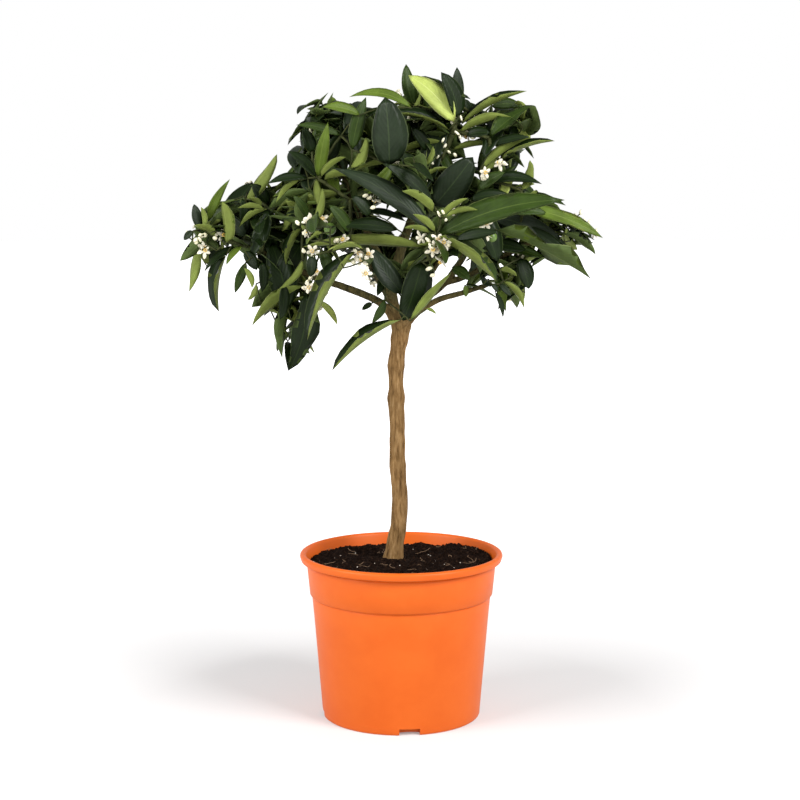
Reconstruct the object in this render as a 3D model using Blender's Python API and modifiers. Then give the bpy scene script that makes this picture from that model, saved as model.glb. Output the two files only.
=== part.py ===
"""Potted calamondin: a small standard citrus tree in flower, in a plastic nursery pot.

Metres, +Z up. The origin is the centre of the pot's underside, on the surface it stands on.
The tree is seen from the -Y side, with +X to the right.
"""

import math

import bmesh
import bpy
from mathutils import Vector, noise

# Pot, turned about +Z
POT_HEIGHT = 0.1388
RIM_RADIUS = 0.0850
RIM_DEPTH = 0.0072
LIP_INNER_RADIUS = 0.0797
COLLAR_TOP_RADIUS = 0.0793
COLLAR_FOOT_RADIUS = 0.0768
STEP_HEIGHT = 0.1039
BODY_TOP_RADIUS = 0.0749
BODY_FOOT_RADIUS = 0.0662
WALL = 0.0016
EDGE_ROUND = 0.0010
CORNER_ROUND = 0.0030
RAISED_FLOOR = 0.0055
HUB_RADIUS = 0.0300
POT_SEGMENTS = 32

# Drain slots through the foot and drain holes through the raised floor
SLOT_COUNT = 4
SLOT_WIDTH = 0.0170
SLOT_HEIGHT = 0.0050
SLOT_DEPTH = 0.0060
SLOT_BEARING = math.radians(-84)
HOLE_RADIUS = 0.0045
HOLE_RING = 0.0480
HOLE_SIDES = 10

# Soil
GROUND_LEVEL = 0.1335
SOIL_EDGE_DROP = 0.0050
SOIL_UNEVEN = 0.0030
SOIL_FLAT_RADIUS = 0.0180
SOIL_RING_RADII = (0.0340, 0.0500, 0.0650)
SOIL_SEED = Vector((3.1, 7.4, 1.9))

# Clear gap between pieces that touch
GAP = 0.0003

# Trunk: the sideways sway of its centre line at some heights, and its thickness
TRUNK_LINE = (
    (-0.0066, 0.1280),
    (-0.0064, 0.1335),
    (-0.0047, 0.1477),
    (-0.0021, 0.1631),
    (-0.0012, 0.1861),
    (-0.0030, 0.2115),
    (-0.0032, 0.2461),
    (-0.0042, 0.2640),
    (-0.0042, 0.2960),
    (-0.0022, 0.3129),
    (-0.0004, 0.3240),
    (0.0000, 0.3340),
)
TRUNK_FOOT_RADIUS = 0.0069
TRUNK_TOP_RADIUS = 0.0061
FLARE_WIDTH = 0.0022
FLARE_HEIGHT = 0.0090
FORK_HEIGHT = 0.3300
FORK_SWELL = 0.0028
FORK_SWELL_HEIGHT = 0.0100
KNOTS = ((0.2115, 0.0006), (0.2690, 0.0010), (0.2970, 0.0011), (0.3170, 0.0014))
KNOT_LENGTH = 0.0055
TRUNK_STEPS = 2
TRUNK_SIDES = 10

# Boughs: route, and radius where it leaves its parent and where it enters its foliage
BOUGHS = {
    "leader": (
        ((-0.001, 0.000, 0.328), (-0.007, 0.002, 0.350), (-0.007, 0.003, 0.366), (0.002, 0.002, 0.398),
         (0.012, 0.000, 0.426)),
        0.0048, 0.0034),
    "bough_left": (
        ((-0.004, -0.001, 0.330), (-0.017, -0.003, 0.348), (-0.046, -0.006, 0.361), (-0.067, -0.009, 0.368),
         (-0.096, -0.010, 0.381), (-0.124, -0.010, 0.395)),
        0.0036, 0.0020),
    "bough_left_upper": (
        ((-0.007, 0.003, 0.362), (-0.022, 0.002, 0.394), (-0.040, -0.002, 0.432), (-0.052, -0.006, 0.468)),
        0.0032, 0.0020),
    "bough_right_low": (
        ((0.004, -0.003, 0.329), (0.013, -0.006, 0.340), (0.030, -0.010, 0.351), (0.050, -0.012, 0.357),
         (0.072, -0.012, 0.364)),
        0.0030, 0.0019),
    "bough_right_upper": (
        ((0.004, 0.004, 0.330), (0.017, 0.005, 0.348), (0.036, 0.004, 0.364), (0.052, 0.000, 0.387),
         (0.068, -0.005, 0.412)),
        0.0034, 0.0021),
    "bough_right_outer": (
        ((0.036, 0.004, 0.364), (0.054, 0.001, 0.370), (0.082, -0.006, 0.386), (0.112, -0.011, 0.402)),
        0.0026, 0.0018),
    "bough_front_left": (
        ((-0.006, 0.001, 0.347), (-0.015, -0.020, 0.365), (-0.028, -0.046, 0.388), (-0.040, -0.070, 0.402)),
        0.0030, 0.0019),
    "bough_front_right": (
        ((0.002, -0.005, 0.330), (0.010, -0.022, 0.350), (0.024, -0.050, 0.376), (0.036, -0.072, 0.396)),
        0.0031, 0.0019),
    "bough_back_left": (
        ((-0.006, 0.002, 0.344), (-0.017, 0.022, 0.362), (-0.034, 0.046, 0.388), (-0.048, 0.062, 0.406)),
        0.0031, 0.0020),
    "bough_back_right": (
        ((0.001, 0.005, 0.330), (0.012, 0.022, 0.350), (0.030, 0.048, 0.378), (0.044, 0.064, 0.398)),
        0.0032, 0.0020),
}
BOUGH_STEPS = 2
BOUGH_SIDES = 8

# Masses of foliage: centre, half sizes along X, Y and Z, and the furthest leaf tips
MASSES = {
    "mass_left_tip": (
        (-0.157, -0.008, 0.402), (0.022, 0.036, 0.030),
        ((-0.174, -0.012, 0.357), (-0.181, 0.004, 0.386), (-0.150, -0.016, 0.341), (-0.168, 0.004, 0.428))),
    "mass_left_arm": (
        (-0.121, -0.004, 0.412), (0.032, 0.046, 0.032), ((-0.103, -0.010, 0.469), (-0.122, 0.030, 0.446))),
    "mass_left_under": (
        (-0.092, -0.014, 0.346), (0.042, 0.036, 0.032),
        ((-0.089, -0.020, 0.293), (-0.122, -0.020, 0.329), (-0.074, -0.034, 0.317), (-0.084, 0.026, 0.318))),
    "mass_left_shoulder": (
        (-0.074, -0.010, 0.424), (0.038, 0.048, 0.036), ((-0.110, -0.020, 0.446),)),
    "mass_upper_left": (
        (-0.050, -0.006, 0.482), (0.036, 0.048, 0.032),
        ((-0.028, -0.008, 0.520), (-0.086, 0.000, 0.493), (-0.092, -0.020, 0.471), (-0.043, 0.010, 0.512))),
    "mass_crown_top": (
        (0.024, -0.002, 0.500), (0.038, 0.044, 0.032), ((0.004, 0.000, 0.5418), (0.046, 0.006, 0.540))),
    "mass_upper_right": (
        (0.078, -0.006, 0.474), (0.034, 0.046, 0.028),
        ((0.104, -0.010, 0.519), (0.126, -0.012, 0.480), (0.106, 0.020, 0.506))),
    "mass_heart": (
        (0.012, 0.000, 0.444), (0.046, 0.048, 0.040), ()),
    "mass_right_shoulder": (
        (0.080, -0.008, 0.428), (0.040, 0.048, 0.030), ((0.112, -0.014, 0.440),)),
    "mass_right_tip": (
        (0.124, -0.010, 0.405), (0.027, 0.034, 0.018),
        ((0.164, -0.010, 0.401), (0.155, -0.018, 0.369), (0.134, -0.020, 0.431))),
    "mass_right_low": (
        (0.084, -0.012, 0.378), (0.036, 0.042, 0.026), ((0.101, -0.012, 0.345), (0.083, -0.016, 0.337))),
    "mass_centre_low": (
        (0.000, -0.054, 0.368), (0.030, 0.028, 0.028), ((0.002, -0.050, 0.331), (-0.022, -0.044, 0.338))),
    "mass_front_left": (
        (-0.046, -0.088, 0.408), (0.040, 0.036, 0.032), ((-0.058, -0.142, 0.396), (-0.084, -0.104, 0.378))),
    "mass_front_right": (
        (0.046, -0.090, 0.406), (0.040, 0.036, 0.032), ((0.040, -0.145, 0.402), (0.078, -0.100, 0.374))),
    "mass_front_top": (
        (-0.004, -0.074, 0.454), (0.044, 0.038, 0.034), ((-0.010, -0.120, 0.466), (0.030, -0.104, 0.478))),
    "mass_back_left": (
        (-0.058, 0.080, 0.412), (0.044, 0.040, 0.036), ((-0.106, 0.104, 0.400), (-0.066, 0.140, 0.404))),
    "mass_back_right": (
        (0.058, 0.082, 0.410), (0.046, 0.040, 0.036), ((0.106, 0.106, 0.396), (0.060, 0.145, 0.398))),
    "mass_back_top": (
        (0.000, 0.070, 0.466), (0.046, 0.040, 0.036), ((0.010, 0.114, 0.490), (-0.046, 0.090, 0.484))),
    "mass_back_low": (
        (-0.002, 0.086, 0.374), (0.036, 0.034, 0.026), ((-0.004, 0.122, 0.340), (0.022, 0.104, 0.336))),
}
MASS_UNEVEN = 0.22
MASS_LUMPS = 1.9
MASS_SEGMENTS = 14
MASS_RINGS = 10
TIP_SPREAD = 0.40

POT_ORANGE = (0.80, 0.13, 0.02, 1)
SOIL_BROWN = (0.022, 0.012, 0.007, 1)
BARK_BROWN = (0.26, 0.15, 0.07, 1)
LEAF_GREEN = (0.05, 0.12, 0.025, 1)


def clear_scene():
    for obj in list(bpy.data.objects):
        bpy.data.objects.remove(obj, do_unlink=True)


def new_collection(name):
    collection = bpy.data.collections.new(name)
    bpy.context.scene.collection.children.link(collection)
    return collection


def new_material(name, color, roughness):
    material = bpy.data.materials.new(name)
    material.use_nodes = True
    shader = material.node_tree.nodes["Principled BSDF"]
    shader.inputs["Base Color"].default_value = color
    shader.inputs["Roughness"].default_value = roughness
    return material


def new_object(name, data, collection, material=None):
    obj = bpy.data.objects.new(name, data)
    collection.objects.link(obj)
    if material:
        data.materials.append(material)
    return obj


def mesh_from(bm, name):
    mesh = bpy.data.meshes.new(name)
    bm.to_mesh(mesh)
    bm.free()
    return mesh


def evaluated_mesh(obj):
    """A plain mesh of the object with its modifiers or its bevel, and the object removed."""
    graph = bpy.context.evaluated_depsgraph_get()
    mesh = bpy.data.meshes.new_from_object(obj.evaluated_get(graph))
    bpy.data.objects.remove(obj, do_unlink=True)
    bm = bmesh.new()
    bm.from_mesh(mesh)
    bmesh.ops.remove_doubles(bm, verts=bm.verts, dist=1e-6)
    bm.to_mesh(mesh)
    bm.free()
    return mesh


def make_cutter(obj):
    obj.hide_render = True
    obj.display_type = "WIRE"


def cut(obj, cutter):
    boolean = obj.modifiers.new("cut " + cutter.name, "BOOLEAN")
    boolean.object = cutter
    boolean.operation = "DIFFERENCE"


def turned(name, profile, segments, collection):
    """A profile of (radius, height) points turned about +Z."""
    mesh = bpy.data.meshes.new(name)
    points = [(radius, 0, height) for radius, height in profile]
    edges = [(index, index + 1) for index in range(len(points) - 1)]
    mesh.from_pydata(points, edges, [])
    obj = new_object(name, mesh, collection)
    screw = obj.modifiers.new("turn", "SCREW")
    screw.steps = segments
    screw.render_steps = segments
    screw.use_merge_vertices = True
    screw.merge_threshold = 0.00001
    return obj


def pot_inner_wall():
    """The inside of the pot, from the lip down to the middle of its floor."""
    floor = RAISED_FLOOR + WALL
    step_drop = 0.0020
    return [
        (COLLAR_TOP_RADIUS - WALL, POT_HEIGHT - 0.0026),
        (COLLAR_FOOT_RADIUS - WALL, STEP_HEIGHT + step_drop),
        (BODY_TOP_RADIUS - WALL, STEP_HEIGHT - step_drop),
        (BODY_FOOT_RADIUS - WALL, floor + CORNER_ROUND),
        (BODY_FOOT_RADIUS - WALL - 0.0006, floor + CORNER_ROUND / 3),
        (BODY_FOOT_RADIUS - WALL - 0.0022, floor),
        (HUB_RADIUS + WALL, floor),
        (HUB_RADIUS - WALL, WALL),
        (0, WALL),
    ]


def make_pot(collection, cutters, material):
    rim_foot = POT_HEIGHT - RIM_DEPTH
    skirt_inner = BODY_FOOT_RADIUS - 0.0008 - WALL
    outside = [
        (LIP_INNER_RADIUS + EDGE_ROUND, POT_HEIGHT),
        (RIM_RADIUS - EDGE_ROUND, POT_HEIGHT),
        (RIM_RADIUS, POT_HEIGHT - EDGE_ROUND),
        (RIM_RADIUS, rim_foot + EDGE_ROUND),
        (RIM_RADIUS - EDGE_ROUND, rim_foot),
        (COLLAR_TOP_RADIUS, rim_foot),
        (COLLAR_FOOT_RADIUS, STEP_HEIGHT + EDGE_ROUND),
        (COLLAR_FOOT_RADIUS - EDGE_ROUND, STEP_HEIGHT),
        (BODY_TOP_RADIUS, STEP_HEIGHT - EDGE_ROUND),
        (BODY_FOOT_RADIUS, CORNER_ROUND),
        (BODY_FOOT_RADIUS - 0.0008, 0),
        (skirt_inner - 0.0004, 0),
        (skirt_inner - 0.0010, RAISED_FLOOR),
        (HUB_RADIUS + EDGE_ROUND, RAISED_FLOOR),
        (HUB_RADIUS, 0),
        (0, 0),
    ]
    profile = outside[::-1] + [(LIP_INNER_RADIUS, POT_HEIGHT - EDGE_ROUND)] + pot_inner_wall()
    mesh = evaluated_mesh(turned("pot", profile[::-1], POT_SEGMENTS, collection))
    pot = new_object("pot", outward(mesh), collection, material)
    for index in range(SLOT_COUNT):
        cut(pot, slot_cutter(index, cutters))
        cut(pot, hole_cutter(index, cutters))
    shade_smooth(pot.data)
    return pot


def outward(mesh):
    """The closed mesh with its faces pointing out."""
    bm = bmesh.new()
    bm.from_mesh(mesh)
    bmesh.ops.recalc_face_normals(bm, faces=bm.faces)
    if bm.calc_volume(signed=True) < 0:
        bmesh.ops.reverse_faces(bm, faces=bm.faces)
    bm.to_mesh(mesh)
    bm.free()
    return mesh


def shade_smooth(mesh):
    mesh.shade_smooth()
    mesh.set_sharp_from_angle(angle=math.radians(35))


def slot_cutter(index, cutters):
    bearing = SLOT_BEARING + index * math.tau / SLOT_COUNT
    bm = bmesh.new()
    bmesh.ops.create_cube(bm, size=1)
    bmesh.ops.scale(bm, verts=bm.verts, vec=(2 * SLOT_DEPTH, SLOT_WIDTH, 2 * SLOT_HEIGHT))
    slot = new_object(f"slot_cutter_{index + 1}", mesh_from(bm, "slot"), cutters)
    slot.location = (BODY_FOOT_RADIUS * math.cos(bearing), BODY_FOOT_RADIUS * math.sin(bearing), 0)
    slot.rotation_euler.z = bearing
    make_cutter(slot)
    return slot


def hole_cutter(index, cutters):
    bearing = SLOT_BEARING + index * math.tau / SLOT_COUNT
    bm = bmesh.new()
    bmesh.ops.create_cone(
        bm, cap_ends=True, segments=HOLE_SIDES, radius1=HOLE_RADIUS, radius2=HOLE_RADIUS, depth=4 * WALL)
    hole = new_object(f"hole_cutter_{index + 1}", mesh_from(bm, "hole"), cutters)
    hole.location = (HOLE_RING * math.cos(bearing), HOLE_RING * math.sin(bearing), RAISED_FLOOR)
    make_cutter(hole)
    return hole


def soil_height(x, y):
    """The lumpy top of the soil, flat where the trunk stands and lower towards the rim."""
    distance = math.hypot(x, y)
    out = max(0, distance - SOIL_FLAT_RADIUS) / (COLLAR_TOP_RADIUS - SOIL_FLAT_RADIUS)
    lumps = noise.noise(Vector((x, y, 0)) * 45 + SOIL_SEED)
    return GROUND_LEVEL - GAP - SOIL_EDGE_DROP * out + SOIL_UNEVEN * lumps * min(1, 3 * out)


def make_soil(collection, material):
    """The soil fills the pot inside its wall, a gap away from it."""
    wall = [(max(0, radius - GAP), height + GAP) for radius, height in pot_inner_wall()]
    (top_radius, top_height), (foot_radius, foot_height) = wall[:2]
    edge_height = GROUND_LEVEL - SOIL_EDGE_DROP
    along = (top_height - edge_height) / (top_height - foot_height)
    edge_radius = top_radius + (foot_radius - top_radius) * along
    top = [(radius, GROUND_LEVEL) for radius in (0, SOIL_FLAT_RADIUS) + SOIL_RING_RADII]
    profile = top + [(edge_radius - GAP, GROUND_LEVEL)] + wall[1:]
    mesh = evaluated_mesh(turned("soil", profile, POT_SEGMENTS, collection))
    for vertex in mesh.vertices:
        if vertex.co.z > GROUND_LEVEL - GAP:
            vertex.co.z = soil_height(vertex.co.x, vertex.co.y)
    shade_smooth(mesh)
    return new_object("soil", outward(mesh), collection, material)


def smooth_route(points, steps):
    """Points on a smooth curve through the given points, so many steps to each span."""
    ends = [2 * points[0] - points[1], *points, 2 * points[-1] - points[-2]]
    route = []
    for index in range(1, len(ends) - 2):
        before, start, end, after = ends[index - 1:index + 3]
        for step in range(steps):
            t = step / steps
            route.append(0.5 * (
                2 * start + (end - before) * t + (2 * before - 5 * start + 4 * end - after) * t ** 2
                + (3 * start - before - 3 * end + after) * t ** 3))
    return route + [points[-1]]


def lengthened(route, extra):
    """The route with its last point moved on by so much."""
    return route[:-1] + [route[-1] + (route[-1] - route[-2]).normalized() * extra]


def limb(name, route, radii, sides, collection, material=None):
    """A closed round limb along the route, as thick at each point as its radius says."""
    curve = bpy.data.curves.new(name, "CURVE")
    curve.dimensions = "3D"
    curve.bevel_depth = 1
    curve.bevel_resolution = sides // 2 - 2
    curve.use_fill_caps = True
    spline = curve.splines.new("POLY")
    spline.points.add(len(route) - 1)
    for point, place, radius in zip(spline.points, route, radii):
        point.co = (*place, 1)
        point.radius = radius
    mesh = outward(evaluated_mesh(new_object(name, curve, collection)))
    shade_smooth(mesh)
    return new_object(name, mesh, collection, material)


def bell(distance, width):
    return math.exp(-(distance / width) ** 2)


def trunk_radius(height):
    """Taper, root flare, knots and the swelling under the fork."""
    share = (height - GROUND_LEVEL) / (FORK_HEIGHT - GROUND_LEVEL)
    radius = TRUNK_FOOT_RADIUS + (TRUNK_TOP_RADIUS - TRUNK_FOOT_RADIUS) * share
    radius += FLARE_WIDTH * math.exp(-max(0, height - GROUND_LEVEL) / FLARE_HEIGHT)
    radius += FORK_SWELL * bell(height - FORK_HEIGHT, FORK_SWELL_HEIGHT)
    return radius + sum(swell * bell(height - knot, KNOT_LENGTH) for knot, swell in KNOTS)


def trunk_limb(name, extra, collection, material=None):
    route = smooth_route([Vector((x, 0, z)) for x, z in TRUNK_LINE], TRUNK_STEPS)
    radii = [trunk_radius(point.z) + extra for point in route]
    return limb(name, lengthened(route, extra), radii, TRUNK_SIDES, collection, material)


def make_trunk(collection, material):
    """The trunk ends in a flat cut at the level of the soil."""
    trunk = trunk_limb("trunk", 0, collection, material)
    bm = bmesh.new()
    bm.from_mesh(trunk.data)
    bmesh.ops.bisect_plane(
        bm, geom=bm.verts[:] + bm.edges[:] + bm.faces[:], plane_co=(0, 0, GROUND_LEVEL),
        plane_no=(0, 0, 1), clear_inner=True)
    bmesh.ops.contextual_create(bm, geom=[edge for edge in bm.edges if edge.is_boundary])
    bm.to_mesh(trunk.data)
    bm.free()
    outward(trunk.data)
    return trunk


def bough_limb(name, extra, collection, material=None):
    points, start_radius, end_radius = BOUGHS[name.removesuffix("_cutter")]
    route = smooth_route([Vector(point) for point in points], BOUGH_STEPS)
    share = [index / (len(route) - 1) for index in range(len(route))]
    radii = [start_radius + (end_radius - start_radius) * along + extra for along in share]
    return limb(name, lengthened(route, extra), radii, BOUGH_SIDES, collection, material)


def make_boughs(collection, cutters, material):
    """Each bough is cut back where it would run into the trunk or an earlier bough."""
    limb_cutters = [trunk_limb("trunk_cutter", GAP, cutters)]
    for name in BOUGHS:
        bough = bough_limb(name, 0, collection, material)
        for cutter in limb_cutters:
            if boxes_meet(bough, cutter):
                cut(bough, cutter)
        limb_cutters.append(bough_limb(name + "_cutter", GAP, cutters))
    for cutter in limb_cutters:
        make_cutter(cutter)
    return limb_cutters


def box_of(obj):
    points = [obj.matrix_world @ vertex.co for vertex in obj.data.vertices]
    lowest = [min(point[axis] for point in points) for axis in range(3)]
    highest = [max(point[axis] for point in points) for axis in range(3)]
    return lowest, highest


def boxes_meet(first, second):
    (first_low, first_high), (second_low, second_high) = box_of(first), box_of(second)
    return all(
        first_low[axis] < second_high[axis] and second_low[axis] < first_high[axis] for axis in range(3))


def neighbour_planes(name):
    """For each other mass near enough, a plane between the two: its normal and its distance from this centre."""
    centre, size, _ = MASSES[name]
    planes = []
    for other, (other_centre, other_size, _) in MASSES.items():
        apart = Vector(other_centre) - Vector(centre)
        if other == name or apart.length > 2.2 * (max(size) + max(other_size)):
            continue
        normal = apart.normalized()
        reach = half_size_along(size, normal)
        other_reach = half_size_along(other_size, normal)
        planes.append((normal, apart.length * reach / (reach + other_reach) - GAP))
    return planes


def half_size_along(size, direction):
    """How far an ellipsoid of these half sizes reaches along a direction."""
    return 1 / math.sqrt(sum((direction[axis] / size[axis]) ** 2 for axis in range(3)))


def mass_reach(direction, size, tips, planes, seed):
    """How far the mass reaches from its centre: lumpy, drawn out to its leaf tips, short of its neighbours."""
    reach = half_size_along(size, direction)
    reach *= 1 + MASS_UNEVEN * noise.noise(direction * MASS_LUMPS + seed)
    for tip in tips:
        turn = direction.angle(tip)
        if turn < TIP_SPREAD:
            reach = max(reach, reach + (tip.length - reach) * (1 - turn / TIP_SPREAD))
    for normal, distance in planes:
        facing = direction.dot(normal)
        if facing > 0:
            reach = min(reach, distance / facing)
    return reach


def make_mass(name, seed, collection, material):
    """One closed, uneven mass of leaves."""
    centre, size, tip_places = MASSES[name]
    tips = [Vector(tip) - Vector(centre) for tip in tip_places]
    planes = neighbour_planes(name)
    bm = bmesh.new()
    bmesh.ops.create_uvsphere(bm, u_segments=MASS_SEGMENTS, v_segments=MASS_RINGS, radius=1)
    for tip in tips:
        nearest = min(bm.verts, key=lambda vertex: (vertex.co - tip.normalized()).length)
        nearest.co = tip.normalized()
    for vertex in bm.verts:
        direction = vertex.co.normalized()
        vertex.co = Vector(centre) + direction * mass_reach(direction, size, tips, planes, seed)
    mesh = mesh_from(bm, name)
    shade_smooth(mesh)
    return new_object(name, mesh, collection, material)


def make_masses(collection, limb_cutters, material):
    for index, name in enumerate(MASSES):
        mass = make_mass(name, Vector((index * 5.3, 2.7, index * 1.9)), collection, material)
        for cutter in limb_cutters:
            if boxes_meet(mass, cutter):
                cut(mass, cutter)


def main():
    clear_scene()
    tree = new_collection("potted_calamondin")
    cutters = new_collection("cutters")
    bark = new_material("bark", BARK_BROWN, 0.85)
    make_pot(tree, cutters, new_material("orange plastic", POT_ORANGE, 0.45))
    make_soil(tree, new_material("dark soil", SOIL_BROWN, 0.95))
    make_trunk(tree, bark)
    limb_cutters = make_boughs(tree, cutters, bark)
    make_masses(tree, limb_cutters, new_material("foliage", LEAF_GREEN, 0.5))


main()
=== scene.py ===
import math
import random

import bmesh
import bpy
from mathutils import Matrix, Vector, noise
from mathutils.bvhtree import BVHTree


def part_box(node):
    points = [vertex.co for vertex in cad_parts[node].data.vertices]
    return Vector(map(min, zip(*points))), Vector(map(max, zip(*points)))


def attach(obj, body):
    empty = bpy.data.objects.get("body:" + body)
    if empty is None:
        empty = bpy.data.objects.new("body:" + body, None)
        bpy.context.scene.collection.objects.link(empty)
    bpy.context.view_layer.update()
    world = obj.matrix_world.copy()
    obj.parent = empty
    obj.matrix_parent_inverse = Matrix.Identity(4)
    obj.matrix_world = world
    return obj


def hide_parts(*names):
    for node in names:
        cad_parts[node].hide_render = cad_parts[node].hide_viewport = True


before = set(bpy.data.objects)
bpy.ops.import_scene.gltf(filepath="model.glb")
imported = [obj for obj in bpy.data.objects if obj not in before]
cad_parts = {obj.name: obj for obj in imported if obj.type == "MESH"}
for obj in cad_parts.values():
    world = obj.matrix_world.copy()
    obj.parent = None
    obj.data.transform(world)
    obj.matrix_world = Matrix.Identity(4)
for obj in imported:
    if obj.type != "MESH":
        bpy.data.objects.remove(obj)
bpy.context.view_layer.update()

scene = bpy.context.scene
anyTurn = 6.28           # the top of a random turn in radians

# The photograph's view: a long lens a metre and a half in front, looking slightly down.
view = {
    "place": Vector((-0.00105, -1.509, 0.4665)),
    "pitchDown": math.radians(7.53),
    "lens": 82.48,
    "sensor": 36.0,
    "focalPixels": 1833.0,
    "middlePixel": 400.0,
}
viewForward = Vector((0.0, math.cos(view["pitchDown"]), -math.sin(view["pitchDown"])))
viewUp = Vector((0.0, math.sin(view["pitchDown"]), math.cos(view["pitchDown"])))
viewRight = Vector((1.0, 0.0, 0.0))


def pixelPoint(u, v, y):               # the point seen at a pixel, y metres behind the pot's axis
    ray = viewForward.copy()
    ray += viewRight * ((u - view["middlePixel"]) / view["focalPixels"])
    ray -= viewUp * ((v - view["middlePixel"]) / view["focalPixels"])
    return view["place"] + ray * ((y - view["place"].y) / ray.y)


def pixelOf(point):
    away = point - view["place"]
    depth = away.dot(viewForward)
    u = view["middlePixel"] + view["focalPixels"] * away.dot(viewRight) / depth
    v = view["middlePixel"] - view["focalPixels"] * away.dot(viewUp) / depth
    return u, v


# Nodes that the materials share

def newMaterial(name, roughness, specular=0.5):
    material = bpy.data.materials.new(name)
    material.use_nodes = True
    shader = material.node_tree.nodes["Principled BSDF"]
    shader.inputs["Roughness"].default_value = roughness
    shader.inputs["Specular IOR Level"].default_value = specular
    return material, material.node_tree, shader


def addNode(tree, kind, **settings):
    node = tree.nodes.new(kind)
    for name, value in settings.items():
        setattr(node, name, value)
    return node


def noiseOn(tree, scale, detail=4.0, roughness=0.6, stretch=(1, 1, 1)):
    coords = addNode(tree, "ShaderNodeTexCoord")
    mapping = addNode(tree, "ShaderNodeMapping")
    mapping.inputs["Scale"].default_value = stretch
    texture = addNode(tree, "ShaderNodeTexNoise")
    texture.inputs["Scale"].default_value = scale
    texture.inputs["Detail"].default_value = detail
    texture.inputs["Roughness"].default_value = roughness
    tree.links.new(coords.outputs["Object"], mapping.inputs["Vector"])
    tree.links.new(mapping.outputs["Vector"], texture.inputs["Vector"])
    return texture.outputs["Fac"]


def ramp(tree, source, stops):
    node = addNode(tree, "ShaderNodeValToRGB")
    while len(node.color_ramp.elements) < len(stops):
        node.color_ramp.elements.new(0.5)
    for element, (place, colour) in zip(node.color_ramp.elements, stops):
        element.position = place
        element.color = (*colour, 1.0)
    tree.links.new(source, node.inputs["Fac"])
    return node.outputs["Color"]


def bumpFrom(tree, source, strength, distance, shader):
    node = addNode(tree, "ShaderNodeBump")
    node.inputs["Strength"].default_value = strength
    node.inputs["Distance"].default_value = distance
    tree.links.new(source, node.inputs["Height"])
    tree.links.new(node.outputs["Normal"], shader.inputs["Normal"])


def mathNode(tree, operation, first, second=None, clamp=False):
    node = addNode(tree, "ShaderNodeMath", operation=operation, use_clamp=clamp)
    for socket, value in zip(node.inputs, (first, second)):
        if value is None:
            continue
        if isinstance(value, (int, float)):
            socket.default_value = value
        else:
            tree.links.new(value, socket)
    return node.outputs[0]


def mixColours(tree, factor, first, second):
    node = addNode(tree, "ShaderNodeMix", data_type="RGBA")
    tree.links.new(factor, node.inputs["Factor"])
    for socket, value in ((node.inputs["A"], first), (node.inputs["B"], second)):
        if isinstance(value, tuple):
            socket.default_value = (*value, 1.0)
        else:
            tree.links.new(value, socket)
    return node.outputs["Result"]


# Leaf finish: a mottled blade with a midrib, side veins and a thin pale edge of painted rim light, as of
# light through the thin margin, laid out on the leaf's own map

leafPattern = {
    "ribHalf": 0.022, "rimLightFrom": 0.475, "veins": 60.0, "veinSlant": 46.0, "veinFrom": 0.93,
    "veinStrength": 0.14, "mottleScale": 90.0, "darker": 0.78, "lighter": 1.2,
    "bump": 0.12, "bumpDepth": 0.0004,
}
# Blade, midrib and edge colours (the edge a painted rim light), roughness and gloss of each kind of leaf
# side.
leafKinds = {
    "darkTop": ((0.0055, 0.0125, 0.0020), (0.014, 0.027, 0.005), (0.044, 0.064, 0.018), 0.42, 0.13),
    # painted sheen: a dark leaf top painted greyer and bluer, as the white surroundings look when reflected
    # in it
    "sheenedDarkTop": ((0.0100, 0.0180, 0.0068), (0.021, 0.034, 0.012), (0.052, 0.072, 0.027), 0.44, 0.17),
    "midTop": ((0.020, 0.038, 0.0045), (0.044, 0.070, 0.012), (0.090, 0.118, 0.032), 0.44, 0.14),
    "freshTop": ((0.066, 0.102, 0.011), (0.105, 0.145, 0.024), (0.150, 0.190, 0.050), 0.48, 0.15),
    "limeTop": ((0.290, 0.345, 0.078), (0.350, 0.400, 0.120), (0.410, 0.450, 0.175), 0.52, 0.18),
    "paleUnder": ((0.118, 0.150, 0.028), (0.160, 0.195, 0.050), (0.190, 0.225, 0.068), 0.68, 0.15),
    "oldUnder": ((0.052, 0.078, 0.018), (0.084, 0.112, 0.032), (0.105, 0.135, 0.045), 0.66, 0.15),
}
leafSlots = list(leafKinds)


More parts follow.
